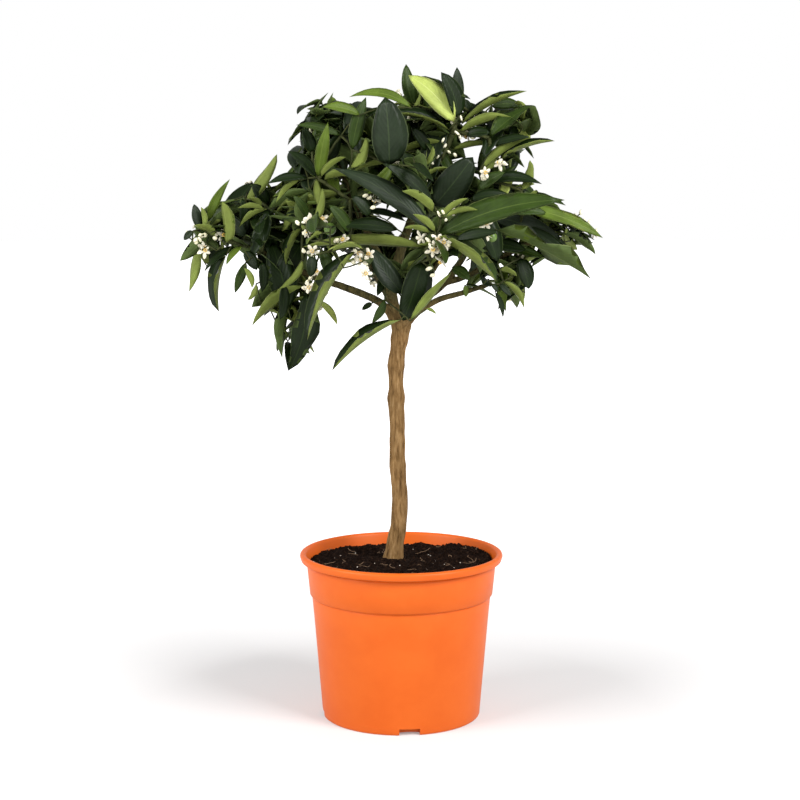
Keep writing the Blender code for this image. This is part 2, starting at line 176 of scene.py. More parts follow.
def leafMaterial(name, blade, rib, edge, roughness, specular):
    pattern = leafPattern
    material, tree, shader = newMaterial(name, roughness, specular)
    uv = addNode(tree, "ShaderNodeUVMap", uv_map="leaf")
    parts = addNode(tree, "ShaderNodeSeparateXYZ")
    tree.links.new(uv.outputs["UV"], parts.inputs["Vector"])
    across = mathNode(tree, "ABSOLUTE", mathNode(tree, "SUBTRACT", parts.outputs["X"], 0.5))
    ribMask = mathNode(tree, "LESS_THAN", across, pattern["ribHalf"])
    # painted rim light: a pale band along the leaf's edge, as of light coming through the thin margin
    rimLightMask = mathNode(tree, "GREATER_THAN", across, pattern["rimLightFrom"])
    veinPhase = mathNode(tree, "SUBTRACT",
                         mathNode(tree, "MULTIPLY", parts.outputs["Y"], pattern["veins"]),
                         mathNode(tree, "MULTIPLY", across, pattern["veinSlant"]))
    veinWave = mathNode(tree, "SINE", veinPhase)
    veinMask = mathNode(tree, "MULTIPLY", mathNode(tree, "GREATER_THAN", veinWave, pattern["veinFrom"]),
                        pattern["veinStrength"])
    mottle = noiseOn(tree, pattern["mottleScale"], 3.0)
    darker = tuple(channel * pattern["darker"] for channel in blade)
    lighter = tuple(min(1.0, channel * pattern["lighter"]) for channel in blade)
    surface = ramp(tree, mottle, [(0.3, darker), (0.72, lighter)])
    surface = mixColours(tree, veinMask, surface, rib)
    surface = mixColours(tree, rimLightMask, surface, edge)
    surface = mixColours(tree, ribMask, surface, rib)
    tree.links.new(surface, shader.inputs["Base Color"])
    bumpFrom(tree, mathNode(tree, "ADD", veinWave, mottle), pattern["bump"], pattern["bumpDepth"], shader)
    return material


leafMaterials = [leafMaterial("leaf_" + name, *spec) for name, spec in leafKinds.items()]

# Finishes of one mottled colour: the colours by their place in the noise, and the noise's scale.
mottledFinishes = {
    "pot_plastic": dict(stops=((0.35, (0.560, 0.092, 0.006)), (0.7, (0.598, 0.108, 0.009))),
                        scale=26.0, roughness=0.44, bump=0.05, distance=0.0004, specular=0.2),
    "potting_soil": dict(stops=((0.36, (0.003, 0.0012, 0.0008)), (0.56, (0.010, 0.005, 0.003)),
                                (0.72, (0.050, 0.024, 0.013))),
                         scale=420.0, roughness=1.0, bump=0.9, distance=0.0016, specular=0.05),
    "grit": dict(stops=((0.4, (0.45, 0.38, 0.31)), (0.7, (0.72, 0.66, 0.58))),
                 scale=500.0, roughness=0.85, bump=0.3, distance=0.0004),
    "fibre": dict(stops=((0.4, (0.10, 0.055, 0.03)), (0.7, (0.25, 0.16, 0.09))),
                  scale=500.0, roughness=0.9, bump=0.3, distance=0.0003),
    "twig": dict(stops=((0.35, (0.016, 0.021, 0.006)), (0.7, (0.052, 0.058, 0.018))),
                 scale=190.0, roughness=0.7, bump=0.3, distance=0.0005, stretch=(1, 1, 0.4), specular=0.12),
    "petal": dict(stops=((0.35, (0.58, 0.54, 0.41)), (0.7, (0.78, 0.75, 0.63))),
                  scale=240.0, roughness=0.6, bump=0.15, distance=0.0004, specular=0.2),
    "bud": dict(stops=((0.35, (0.62, 0.58, 0.38)), (0.7, (0.82, 0.79, 0.62))),
                scale=240.0, roughness=0.5, bump=0.15, distance=0.0004),
    "stamen": dict(stops=((0.4, (0.62, 0.38, 0.06)), (0.7, (0.80, 0.58, 0.14))),
                   scale=400.0, roughness=0.6, bump=0.1, distance=0.0003),
    "fruitlet": dict(stops=((0.35, (0.07, 0.13, 0.02)), (0.7, (0.12, 0.20, 0.035))),
                     scale=600.0, roughness=0.35, bump=0.4, distance=0.0005),
}


def mottledMaterial(name, stops, scale, roughness, bump, distance, stretch=(1, 1, 1), specular=0.4):
    material, tree, shader = newMaterial(name, roughness, specular)
    pattern = noiseOn(tree, scale, 6.0, 0.65, stretch)
    tree.links.new(ramp(tree, pattern, stops), shader.inputs["Base Color"])
    bumpFrom(tree, pattern, bump, distance, shader)
    return material


finish = {name: mottledMaterial(name + "_finish", **spec) for name, spec in mottledFinishes.items()}

barkFinish = {
    "roughness": 0.9, "specular": 0.12, "bump": 0.9, "bumpDepth": 0.0009,
    "streakScale": 420.0, "streakStretch": (1, 1, 0.16), "patchScale": 110.0, "patchStretch": (1, 1, 0.35),
    "old": ((0.30, (0.045, 0.024, 0.009)), (0.44, (0.165, 0.094, 0.036)),
            (0.58, (0.245, 0.150, 0.066)), (0.74, (0.350, 0.240, 0.125))),
    "patches": ((0.32, (0.62, 0.58, 0.50)), (0.68, (1.0, 0.97, 0.90))),
    # painted shade: above the fork the bark is painted darker, as the crown shades it, and greener, as young
    # bark is
    "shadedYoung": ((0.34, (0.018, 0.017, 0.005)), (0.70, (0.085, 0.070, 0.024))),
    "shadedYoungFrom": 0.318, "shadedYoungRate": 28.0,
}


def makeBarkMaterial():
    look = barkFinish
    material, tree, shader = newMaterial("bark_finish", look["roughness"], look["specular"])
    streaks = noiseOn(tree, look["streakScale"], 6.0, 0.7, look["streakStretch"])
    patches = noiseOn(tree, look["patchScale"], 4.0, 0.6, look["patchStretch"])
    old = ramp(tree, streaks, look["old"])
    tint = ramp(tree, patches, look["patches"])
    aged = addNode(tree, "ShaderNodeMix", data_type="RGBA", blend_type="MULTIPLY")
    aged.inputs["Factor"].default_value = 1.0
    tree.links.new(old, aged.inputs["A"])
    tree.links.new(tint, aged.inputs["B"])
    # painted shade under the crown: the bark turns darker and greener with height above the fork
    shadedYoung = ramp(tree, streaks, look["shadedYoung"])
    coords = addNode(tree, "ShaderNodeTexCoord")
    parts = addNode(tree, "ShaderNodeSeparateXYZ")
    tree.links.new(coords.outputs["Object"], parts.inputs["Vector"])
    above = mathNode(tree, "SUBTRACT", parts.outputs["Z"], look["shadedYoungFrom"])
    rise = mathNode(tree, "MULTIPLY", above, look["shadedYoungRate"], True)
    tree.links.new(mixColours(tree, rise, aged.outputs["Result"], shadedYoung), shader.inputs["Base Color"])
    bumpFrom(tree, streaks, look["bump"], look["bumpDepth"], shader)
    return material


barkMaterial = makeBarkMaterial()
print("materials made")


# Mesh collecting

def newBucket():
    return {"points": [], "faces": [], "slots": [], "uvs": []}


def makePiece(name, bucket, materials, withUv=False):
    mesh = bpy.data.meshes.new(name)
    mesh.from_pydata([tuple(p) for p in bucket["points"]], [], bucket["faces"])
    mesh.polygons.foreach_set("material_index", bucket["slots"])
    mesh.polygons.foreach_set("use_smooth", [True] * len(mesh.polygons))
    if withUv:
        layer = mesh.uv_layers.new(name="leaf")
        flat = [value for pair in bucket["uvs"] for value in pair]
        layer.data.foreach_set("uv", flat)
    for material in materials:
        mesh.materials.append(material)
    mesh.update()
    piece = bpy.data.objects.new(name, mesh)
    scene.collection.objects.link(piece)
    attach(piece, "root")
    return piece


def finishedMesh(piece):               # the mesh with its modifiers applied
    graph = bpy.context.evaluated_depsgraph_get()
    mesh = bpy.data.meshes.new_from_object(piece.evaluated_get(graph))
    piece.modifiers.clear()
    return mesh


def onCircle(first, second, angle):
    return first * math.cos(angle) + second * math.sin(angle)


def addTube(bucket, route, radii, sides):
    start = len(bucket["points"])
    side = None
    for index, point in enumerate(route):
        ahead = route[min(index + 1, len(route) - 1)] - route[max(index - 1, 0)]
        ahead.normalize()
        if side is None:
            side = ahead.orthogonal().normalized()
        side = (side - ahead * side.dot(ahead)).normalized()
        other = ahead.cross(side)
        for k in range(sides):
            spoke = onCircle(side, other, 2 * math.pi * k / sides)
            bucket["points"].append(point + spoke * radii[index])
    rings = len(route)
    for ring in range(rings - 1):
        for k in range(sides):
            low = start + ring * sides
            high = low + sides
            following = (k + 1) % sides
            bucket["faces"].append((low + k, low + following, high + following, high + k))
    bucket["faces"].append(tuple(start + k for k in reversed(range(sides))))
    bucket["faces"].append(tuple(start + (rings - 1) * sides + k for k in range(sides)))
    bucket["slots"] += [0] * ((rings - 1) * sides + 2)


def smoothRoute(points, step):         # a smooth curve through the points, with a point at every step
    ends = [points[0] * 2 - points[1]] + list(points) + [points[-1] * 2 - points[-2]]
    route = []
    for a, b, c, d in zip(ends, ends[1:], ends[2:], ends[3:]):
        count = max(1, round((c - b).length / step))
        for k in range(count):
            t = k / count
            route.append(0.5 * ((2 * b) + (c - a) * t + (2 * a - 5 * b + 4 * c - d) * t * t
                                + (3 * b - a - 3 * c + d) * t ** 3))
    route.append(points[-1].copy())
    return route


# Pot: turned from its outline, with four slots and four holes cut through the foot

pot = {
    "segments": 144, "height": 0.1388, "rimRadius": 0.085, "rimDepth": 0.0072,
    "lipInner": 0.0797, "lipRise": 0.0026, "lipSteps": 8,
    "collarTop": 0.0793, "collarFoot": 0.0768, "step": 0.1039,
    "bodyTop": 0.0749, "bodyFoot": 0.0662, "wall": 0.0016, "floor": 0.0055, "sharpFrom": math.radians(38),
    "bodyRings": (0.0065, 0.0080, 0.0120, 0.0250, 0.0450, 0.0650, 0.0850),
    "baseRadius": 0.0290, "baseLift": 0.0008, "baseSlope": 0.0015, "floorWider": 0.009,
    "slotWidth": 0.017, "slotHeight": 0.0056, "slotDepth": 0.012, "slotBearing": -84.0,
    "holeRadius": 0.0045, "holeRing": 0.048, "holeTurn": 0.78, "holeDepth": 0.03,
    # Rounded corners, each as steps out and up from a corner of the outline.
    "footRound": ((-0.0050, 0.0006), (-0.0040, 0.0), (-0.0009, 0.0), (-0.0002, 0.0005), (0.0002, 0.0015)),
    "underStep": ((-0.0001, -0.0030), (-0.0007, -0.0014), (-0.0002, -0.0006)),
    "overStep": ((-0.0007, -0.0002), (-0.0001, 0.0006)),
    "underRim": ((-0.0001, -0.0022), (-0.0008, -0.0008), (-0.0003, -0.0001)),
    "rimRound": ((-0.0034, 0.0001), (-0.0012, 0.0010)),
    "innerStep": (0.0006, -0.0016), "innerRim": -0.001, "innerRound": 0.0012,
}


def rounded(radius, height, steps):
    return [(radius + out, height + up) for out, up in steps]


def potOutline():
    p = pot
    under = p["height"] - p["rimDepth"]
    widening = p["bodyTop"] - p["bodyFoot"]
    outside = [(0.0, p["baseLift"]), (p["baseRadius"], p["baseLift"]),
               (p["baseRadius"] + p["baseSlope"], p["floor"] - p["wall"]),
               (p["holeRing"] + p["floorWider"], p["floor"] - p["wall"])]
    outside += rounded(p["bodyFoot"], 0.0, p["footRound"])
    outside += [(p["bodyFoot"] + widening * height / p["step"], height) for height in p["bodyRings"]]
    outside += rounded(p["bodyTop"], p["step"], p["underStep"])
    outside += rounded(p["collarFoot"], p["step"], p["overStep"])
    outside += rounded(p["collarTop"], under, p["underRim"])
    outside += rounded(p["rimRadius"], under, p["rimRound"])
    lipMiddle, lipHalf = (p["rimRadius"] + p["lipInner"]) / 2, (p["rimRadius"] - p["lipInner"]) / 2
    lip = []
    for k in range(p["lipSteps"] + 1):
        angle = math.pi * k / p["lipSteps"]
        height = p["height"] - p["lipRise"] + p["lipRise"] * math.sin(angle)
        lip.append((lipMiddle + lipHalf * math.cos(angle), height))
    aboveStep, belowStep = p["innerStep"]
    inside = [(p["collarTop"] - p["wall"], under + p["innerRim"]),
              (p["collarFoot"] - p["wall"], p["step"] + aboveStep),
              (p["bodyTop"] - p["wall"], p["step"] + belowStep),
              (p["bodyFoot"] - p["wall"], p["floor"] + p["innerRound"]),
              (p["bodyFoot"] - p["wall"] - p["innerRound"], p["floor"]), (0.0, p["floor"])]
    return outside + lip + inside


def turnedBucket(outline, segments):
    bucket = newBucket()
    rows = []
    for radius, height in outline:
        if radius == 0.0:
            rows.append([len(bucket["points"])] * segments)
            bucket["points"].append(Vector((0, 0, height)))
            continue
        rows.append(list(range(len(bucket["points"]), len(bucket["points"]) + segments)))
        for k in range(segments):
            angle = 2 * math.pi * k / segments
            bucket["points"].append(Vector((radius * math.cos(angle), radius * math.sin(angle), height)))
    for low, high in zip(rows, rows[1:]):
        for k in range(segments):
            following = (k + 1) % segments
            corners = [low[k], low[following], high[following], high[k]]
            bucket["faces"].append(tuple(dict.fromkeys(corners)))
            bucket["slots"].append(0)
    return bucket


def makeFootCutter():
    bm = bmesh.new()
    for k in range(4):
        bearing = math.radians(pot["slotBearing"] + 90 * k)
        place = Vector((math.cos(bearing), math.sin(bearing), 0)) * pot["bodyFoot"]
        turn = Matrix.Translation(place) @ Matrix.Rotation(bearing, 4, "Z")
        size = Matrix.Diagonal((pot["slotDepth"], pot["slotWidth"], 2 * pot["slotHeight"], 1))
        bmesh.ops.create_cube(bm, size=1.0, matrix=turn @ size)
        holeBearing = bearing + pot["holeTurn"]
        holePlace = Vector((math.cos(holeBearing), math.sin(holeBearing), 0)) * pot["holeRing"]
        bmesh.ops.create_cone(bm, cap_ends=True, segments=24, radius1=pot["holeRadius"],
                              radius2=pot["holeRadius"], depth=pot["holeDepth"],
                              matrix=Matrix.Translation(holePlace))
    mesh = bpy.data.meshes.new("footCutter")
    bm.to_mesh(mesh)
    bm.free()
    cutter = bpy.data.objects.new("footCutter", mesh)
    scene.collection.objects.link(cutter)
    return cutter


def makePot():
    bucket = turnedBucket(potOutline(), pot["segments"])
    piece = makePiece("potShell", bucket, [finish["pot_plastic"]])
    cutter = makeFootCutter()
    boolean = piece.modifiers.new("footCuts", "BOOLEAN")
    boolean.object = cutter
    boolean.operation = "DIFFERENCE"
    boolean.solver = "EXACT"
    cut = finishedMesh(piece)
    piece.data = cut
    cut.polygons.foreach_set("use_smooth", [True] * len(cut.polygons))
    cut.set_sharp_from_angle(angle=pot["sharpFrom"])
    bpy.data.objects.remove(cutter)
    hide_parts("pot")


makePot()
print("pot made")


# Soil: an uneven heap, with crumbs, white grit and dry fibres strewn on it

soil = {
    "rings": 46, "segments": 150, "ground": 0.1335, "edgeRadius": 0.0762, "footRadius": 0.0742, "foot": 0.112,
    "edgeDrop": 0.0050, "dropFrom": 0.25, "dropPower": 1.5, "belowRim": 0.0005, "calmMiddle": 2.2,
    "uneven": 0.0042,
    "lumps": ((34, 2.0, 1.0), (95, 5.0, 0.55), (260, 9.0, 0.34)),            # scale, layer, share
    "hollows": ((-0.045, 0.058, 0.0070, 0.010), (0.004, 0.070, 0.0045, 0.008),
                (0.030, 0.068, 0.0045, 0.009)),                              # x, y, depth, spread
    "heaps": ((-0.052, 0.030, 0.0030, 0.018), (0.058, 0.034, 0.0042, 0.020)),
    "crumbs": {"Density": 190000.0, "Smallest": 0.0003, "Largest": 0.0013, "Seed": 11},
    "grit": {"Density": 2600.0, "Smallest": 0.0003, "Largest": 0.0007, "Seed": 12},
    "steepest": 0.3,
}
fibres = {
    "count": 34, "seed": 23, "nearest": 0.03, "furthest": 0.86, "shortest": 0.004, "longest": 0.012,
    "thinnest": 0.00018, "thickest": 0.00032, "joints": 4, "bend": 0.5, "lift": 0.0006, "looseness": 0.0007,
    "clearOfEdge": 0.001,
}


def bellAt(x, y, middleX, middleY, spread):
    return math.exp(-(((x - middleX) ** 2 + (y - middleY) ** 2) / spread ** 2))


def soilHeight(x, y):
    radius = math.hypot(x, y) / soil["edgeRadius"]
    height = soil["ground"] - soil["edgeDrop"] * max(0.0, radius - soil["dropFrom"]) ** soil["dropPower"]
    lump = 0.0
    for scale, layer, share in soil["lumps"]:
        lump += noise.noise(Vector((x * scale, y * scale, layer))) * soil["uneven"] * share
    height += lump * min(1.0, radius * soil["calmMiddle"])
    for hollowX, hollowY, depth, spread in soil["hollows"]:
        height -= depth * bellAt(x, y, hollowX, hollowY, spread)
    for heapX, heapY, rise, spread in soil["heaps"]:
        height += rise * bellAt(x, y, heapX, heapY, spread)
    return min(height, pot["height"] - soil["belowRim"])


def makeSoil():
    bucket = newBucket()
    bucket["points"].append(Vector((0, 0, soilHeight(0.0, 0.0))))
    segments = soil["segments"]
    angles = [2 * math.pi * k / segments for k in range(segments)]
    rows = []
    for ring in range(1, soil["rings"] + 1):
        rows.append(len(bucket["points"]))
        radius = soil["edgeRadius"] * ring / soil["rings"]
        for angle in angles:
            x, y = radius * math.cos(angle), radius * math.sin(angle)
            bucket["points"].append(Vector((x, y, soilHeight(x, y))))
    rows.append(len(bucket["points"]))
    for angle in angles:
        x, y = soil["footRadius"] * math.cos(angle), soil["footRadius"] * math.sin(angle)
        bucket["points"].append(Vector((x, y, soil["foot"])))
    bottom = len(bucket["points"])
    bucket["points"].append(Vector((0, 0, soil["foot"])))
    for k in range(segments):
        following = (k + 1) % segments
        bucket["faces"].append((0, rows[0] + k, rows[0] + following))
        for low, high in zip(rows, rows[1:]):
            bucket["faces"].append((low + k, high + k, high + following, low + following))
        bucket["faces"].append((rows[-1] + k, bottom, rows[-1] + following))
    bucket["slots"] = [0] * len(bucket["faces"])
    piece = makePiece("soilHeap", bucket, [finish["potting_soil"]])
    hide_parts("soil")
    return piece


def strewTree(name, material):
    tree = bpy.data.node_groups.new(name, "GeometryNodeTree")
    tree.interface.new_socket("Geometry", in_out="INPUT", socket_type="NodeSocketGeometry")
    for label, kind in (("Density", "NodeSocketFloat"), ("Smallest", "NodeSocketFloat"),
                        ("Largest", "NodeSocketFloat"), ("Seed", "NodeSocketInt")):
        tree.interface.new_socket(label, in_out="INPUT", socket_type=kind)
    tree.interface.new_socket("Geometry", in_out="OUTPUT", socket_type="NodeSocketGeometry")
    source = tree.nodes.new("NodeGroupInput")
    result = tree.nodes.new("NodeGroupOutput")
    normal = tree.nodes.new("GeometryNodeInputNormal")
    parts = tree.nodes.new("ShaderNodeSeparateXYZ")
    upward = tree.nodes.new("FunctionNodeCompare")
    upward.inputs[1].default_value = soil["steepest"]
    points = tree.nodes.new("GeometryNodeDistributePointsOnFaces")
    ball = tree.nodes.new("GeometryNodeMeshIcoSphere")
    ball.inputs["Radius"].default_value = 1.0
    ball.inputs["Subdivisions"].default_value = 1
    place = tree.nodes.new("GeometryNodeInstanceOnPoints")
    size = tree.nodes.new("FunctionNodeRandomValue")
    size.data_type = "FLOAT_VECTOR"
    turn = tree.nodes.new("FunctionNodeRandomValue")
    turn.data_type = "FLOAT_VECTOR"
    turn.inputs[1].default_value = (anyTurn, anyTurn, anyTurn)
    realize = tree.nodes.new("GeometryNodeRealizeInstances")
    coat = tree.nodes.new("GeometryNodeSetMaterial")
    coat.inputs["Material"].default_value = material
    link = tree.links.new
    link(normal.outputs[0], parts.inputs[0])
    link(parts.outputs["Z"], upward.inputs[0])
    link(source.outputs["Geometry"], points.inputs["Mesh"])
    link(upward.outputs[0], points.inputs["Selection"])
    link(source.outputs["Density"], points.inputs["Density"])
    link(source.outputs["Seed"], points.inputs["Seed"])
    link(source.outputs["Seed"], size.inputs["Seed"])
    link(source.outputs["Smallest"], size.inputs[0])
    link(source.outputs["Largest"], size.inputs[1])
    link(points.outputs["Points"], place.inputs["Points"])
    link(ball.outputs["Mesh"], place.inputs["Instance"])
    link(size.outputs[0], place.inputs["Scale"])
    link(turn.outputs[0], place.inputs["Rotation"])
    link(place.outputs["Instances"], realize.inputs[0])
    link(realize.outputs[0], coat.inputs["Geometry"])
    link(coat.outputs[0], result.inputs[0])
    return tree


def strewOn(ground, name, material, values):
    tree = strewTree(name + "Tree", material)
    modifier = ground.modifiers.new(name, "NODES")
    modifier.node_group = tree
    for item in tree.interface.items_tree:
        if item.in_out == "INPUT" and item.name in values:
            modifier[item.identifier] = values[item.name]
    mesh = finishedMesh(ground)
    mesh.name = name
    piece = bpy.data.objects.new(name, mesh)
    scene.collection.objects.link(piece)
    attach(piece, "root")


def makeFibres():
    draw = random.Random(fibres["seed"])
    bucket = newBucket()
    joints = fibres["joints"]
    for _ in range(fibres["count"]):
        angle = draw.uniform(0, anyTurn)
        reach = soil["edgeRadius"] * math.sqrt(draw.uniform(fibres["nearest"], fibres["furthest"]))
        x, y = reach * math.cos(angle), reach * math.sin(angle)
        heading = draw.uniform(0, anyTurn)
        length = draw.uniform(fibres["shortest"], fibres["longest"])
        route = []
        for k in range(joints + 1):
            px = x + math.cos(heading) * length * k / joints
            py = y + math.sin(heading) * length * k / joints
            if math.hypot(px, py) > soil["edgeRadius"] - fibres["clearOfEdge"]:
                break
            lift = fibres["lift"] + draw.uniform(0, fibres["looseness"])
            route.append(Vector((px, py, soilHeight(px, py) + lift)))
            heading += draw.uniform(-fibres["bend"], fibres["bend"])
        if len(route) > 2:
            addTube(bucket, route, [draw.uniform(fibres["thinnest"], fibres["thickest"])] * len(route), 4)
    makePiece("soilFibres", bucket, [finish["fibre"]])


soilHeap = makeSoil()
strewOn(soilHeap, "soilCrumbs", finish["potting_soil"], soil["crumbs"])
strewOn(soilHeap, "soilGrit", finish["grit"], soil["grit"])
makeFibres()
print("soil made")


# Bark: the trunk and boughs grown into one mesh, then furrowed

# The way of each limb, and its thickness as a radius at its two ends.
limbs = {
    "trunk": (((-0.0066, 0, 0.1280), (-0.0064, 0, 0.1335), (-0.0047, 0, 0.1477), (-0.0021, 0, 0.1631),
               (-0.0012, 0, 0.1861), (-0.0030, 0, 0.2115), (-0.0032, 0, 0.2461), (-0.0042, 0, 0.2640),
               (-0.0042, 0, 0.2960), (-0.0022, 0, 0.3129), (-0.0004, 0, 0.3240), (0, 0, 0.3340)),
              0.0069, 0.0061),
    "leader": (((-0.001, 0, 0.328), (-0.007, 0.002, 0.350), (-0.007, 0.003, 0.366), (0.002, 0.002, 0.398),
                (0.012, 0, 0.426)), 0.0048, 0.0034),
    "bough_left": (((-0.004, -0.001, 0.330), (-0.017, -0.003, 0.348), (-0.046, -0.006, 0.361),
                    (-0.067, -0.009, 0.368), (-0.096, -0.010, 0.381), (-0.124, -0.010, 0.395)),
                   0.0036, 0.0020),
    "bough_left_upper": (((-0.007, 0.003, 0.362), (-0.022, 0.002, 0.394), (-0.040, -0.002, 0.432),
                          (-0.052, -0.006, 0.468)), 0.0032, 0.0020),
    "bough_right_low": (((0.004, -0.003, 0.329), (0.013, -0.006, 0.340), (0.030, -0.010, 0.351),
                         (0.050, -0.012, 0.357), (0.072, -0.012, 0.364)), 0.0030, 0.0019),
    "bough_right_upper": (((0.004, 0.004, 0.330), (0.017, 0.005, 0.348), (0.036, 0.004, 0.364),
                           (0.052, 0, 0.387), (0.068, -0.005, 0.412)), 0.0034, 0.0021),
    "bough_right_outer": (((0.036, 0.004, 0.364), (0.054, 0.001, 0.370), (0.082, -0.006, 0.386),
                           (0.112, -0.011, 0.402)), 0.0026, 0.0018),
    "bough_front_left": (((-0.006, 0.001, 0.347), (-0.015, -0.020, 0.365), (-0.028, -0.046, 0.388),
                          (-0.040, -0.070, 0.402)), 0.0030, 0.0019),
    "bough_front_right": (((0.002, -0.005, 0.330), (0.010, -0.022, 0.350), (0.024, -0.050, 0.376),
                           (0.036, -0.072, 0.396)), 0.0031, 0.0019),
    "bough_back_left": (((-0.006, 0.002, 0.344), (-0.017, 0.022, 0.362), (-0.034, 0.046, 0.388),
                         (-0.048, 0.062, 0.406)), 0.0031, 0.0020),
    "bough_back_right": (((0.001, 0.005, 0.330), (0.012, 0.022, 0.350), (0.030, 0.048, 0.378),
                          (0.044, 0.064, 0.398)), 0.0032, 0.0020),
}
bark = {
    "voxel": 0.0008, "sides": 16, "step": 0.003, "endTaper": 0.7,
    "flare": 0.0022, "flareHeight": 0.009, "knotLength": 0.0055,
    "knots": ((0.2115, 0.0006), (0.2690, 0.0010), (0.2970, 0.0011), (0.3170, 0.0014), (0.3300, 0.0028)),
    "furrow": 0.00042, "furrowScale": (620, 620, 95), "furrowShare": 0.9,
    "lumpScale": (150, 150, 110), "lumpShare": 1.1,
    "trunkTop": 0.34, "trunkHalf": 0.016, "boughShare": 0.45,
}


def trunkSwell(z):
    swell = bark["flare"] * math.exp(-max(0.0, z - soil["ground"]) / bark["flareHeight"])
    for height, rise in bark["knots"]:
        swell += rise * math.exp(-((z - height) / bark["knotLength"]) ** 2)
    return swell


def limbRadii(name, route, startRadius, endRadius):
    radii = []
    for index, point in enumerate(route):
        radius = startRadius + (endRadius - startRadius) * index / (len(route) - 1)
        radii.append(radius + (trunkSwell(point.z) if name == "trunk" else 0.0))
    if name != "trunk":
        radii[-1] *= bark["endTaper"]
    return radii


def noiseAt(point, scales):
    return noise.noise(Vector([point[axis] * scales[axis] for axis in range(3)]))


def furrowBark(mesh):
    normals = [vertex.normal.copy() for vertex in mesh.vertices]
    for vertex, normal in zip(mesh.vertices, normals):
        p = vertex.co
        onTrunk = p.z < bark["trunkTop"] and abs(p.x) < bark["trunkHalf"]
        depth = 1.0 if onTrunk else bark["boughShare"]
        relief = bark["furrowShare"] * noiseAt(p, bark["furrowScale"])
        relief += bark["lumpShare"] * noiseAt(p, bark["lumpScale"])
        vertex.co = p + normal * (bark["furrow"] * depth * relief)


def makeBark(routes):
    bucket = newBucket()
    for name, (_, startRadius, endRadius) in limbs.items():
        addTube(bucket, routes[name], limbRadii(name, routes[name], startRadius, endRadius), bark["sides"])
    piece = makePiece("barkWood", bucket, [barkMaterial])
    remesh = piece.modifiers.new("grown", "REMESH")
    remesh.mode = "VOXEL"
    remesh.voxel_size = bark["voxel"]
    grown = finishedMesh(piece)
    piece.data = grown
    furrowBark(grown)
    grown.polygons.foreach_set("use_smooth", [True] * len(grown.polygons))
    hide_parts(*limbs)


limbRoutes = {name: smoothRoute([Vector(p) for p in points], bark["step"])
              for name, (points, *_) in limbs.items()}
makeBark(limbRoutes)
print("bark made")


# Leaves

leafShape = {
    "stations": 9, "thickness": 0.00022, "widestShift": 0.88, "blunt": 0.88, "bluntDrop": 0.34,
    "narrowing": 0.12, "broadFrom": 0.30, "broadRange": 0.25, "ripples": 9.0, "farSideShift": 2.1,
}
crossPlaces = (-1.0, -0.5, 0.0, 0.5, 1.0)


def halfWidthAt(t, broad):
    blunt = leafShape["blunt"] - leafShape["bluntDrop"] * broad          # a broad leaf has a rounder outline
    return math.sin(math.pi * t ** leafShape["widestShift"]) ** blunt * (1.0 - leafShape["narrowing"] * t)


def addLeaf(bucket, foot, tip, face, width, fold, arch, bow, wave, topSlot, underSlot, draw):
    along = tip - foot
    length = along.length
    along.normalize()
    face = (face - along * face.dot(along)).normalized()
    side = along.cross(face)
    stations = leafShape["stations"]
    phase = draw.uniform(0, anyTurn)
    ripples = leafShape["ripples"] * draw.uniform(0.6, 1.4)
    broad = min(1.0, max(0.0, (width / length - leafShape["broadFrom"]) / leafShape["broadRange"]))
    start = len(bucket["points"])
    bucket["points"] += [foot.copy(), tip.copy()]
    coords = [(0.5, 0.0), (0.5, 1.0)]
    rows = []
    for station in range(1, stations):
        t = station / stations
        lift = 4 * t * (1 - t)
        centre = foot + along * (length * t) + face * (arch * length * lift) + side * (bow * lift)
        half = width / 2 * halfWidthAt(t, broad)
        top, under = [], []
        for across in crossPlaces:
            reach = abs(across)
            shift = leafShape["farSideShift"] if across > 0 else 0.0
            ripple = wave * half * reach ** 2 * math.sin(phase + ripples * t + shift)
            point = centre + side * (across * half * math.cos(fold))
            point += face * (reach * half * math.sin(fold) + ripple)
            thick = face * (leafShape["thickness"] * (1 - across * across))
            top.append(len(bucket["points"]))
            if reach == 1.0:           # the two sides meet in one point at the edge
                under.append(len(bucket["points"]))
                bucket["points"].append(point)
                coords.append(((across + 1) / 2, t))
                continue
            bucket["points"].append(point + thick)
            under.append(len(bucket["points"]))
            bucket["points"].append(point - thick)
            coords += [((across + 1) / 2, t)] * 2
        rows.append((top, under))

    def addFace(corners, slot):
        bucket["faces"].append(corners)
        bucket["slots"].append(slot)
        bucket["uvs"] += [coords[corner - start] for corner in corners]

    firstTop, firstUnder = rows[0]
    lastTop, lastUnder = rows[-1]
    for k in range(len(crossPlaces) - 1):
        for (topA, underA), (topB, underB) in zip(rows, rows[1:]):
            addFace((topA[k], topA[k + 1], topB[k + 1], topB[k]), topSlot)
            addFace((underA[k + 1], underA[k], underB[k], underB[k + 1]), underSlot)
        addFace((start, firstTop[k + 1], firstTop[k]), topSlot)
        addFace((start, firstUnder[k], firstUnder[k + 1]), underSlot)
        addFace((start + 1, lastTop[k], lastTop[k + 1]), topSlot)
        addFace((start + 1, lastUnder[k + 1], lastUnder[k]), underSlot)


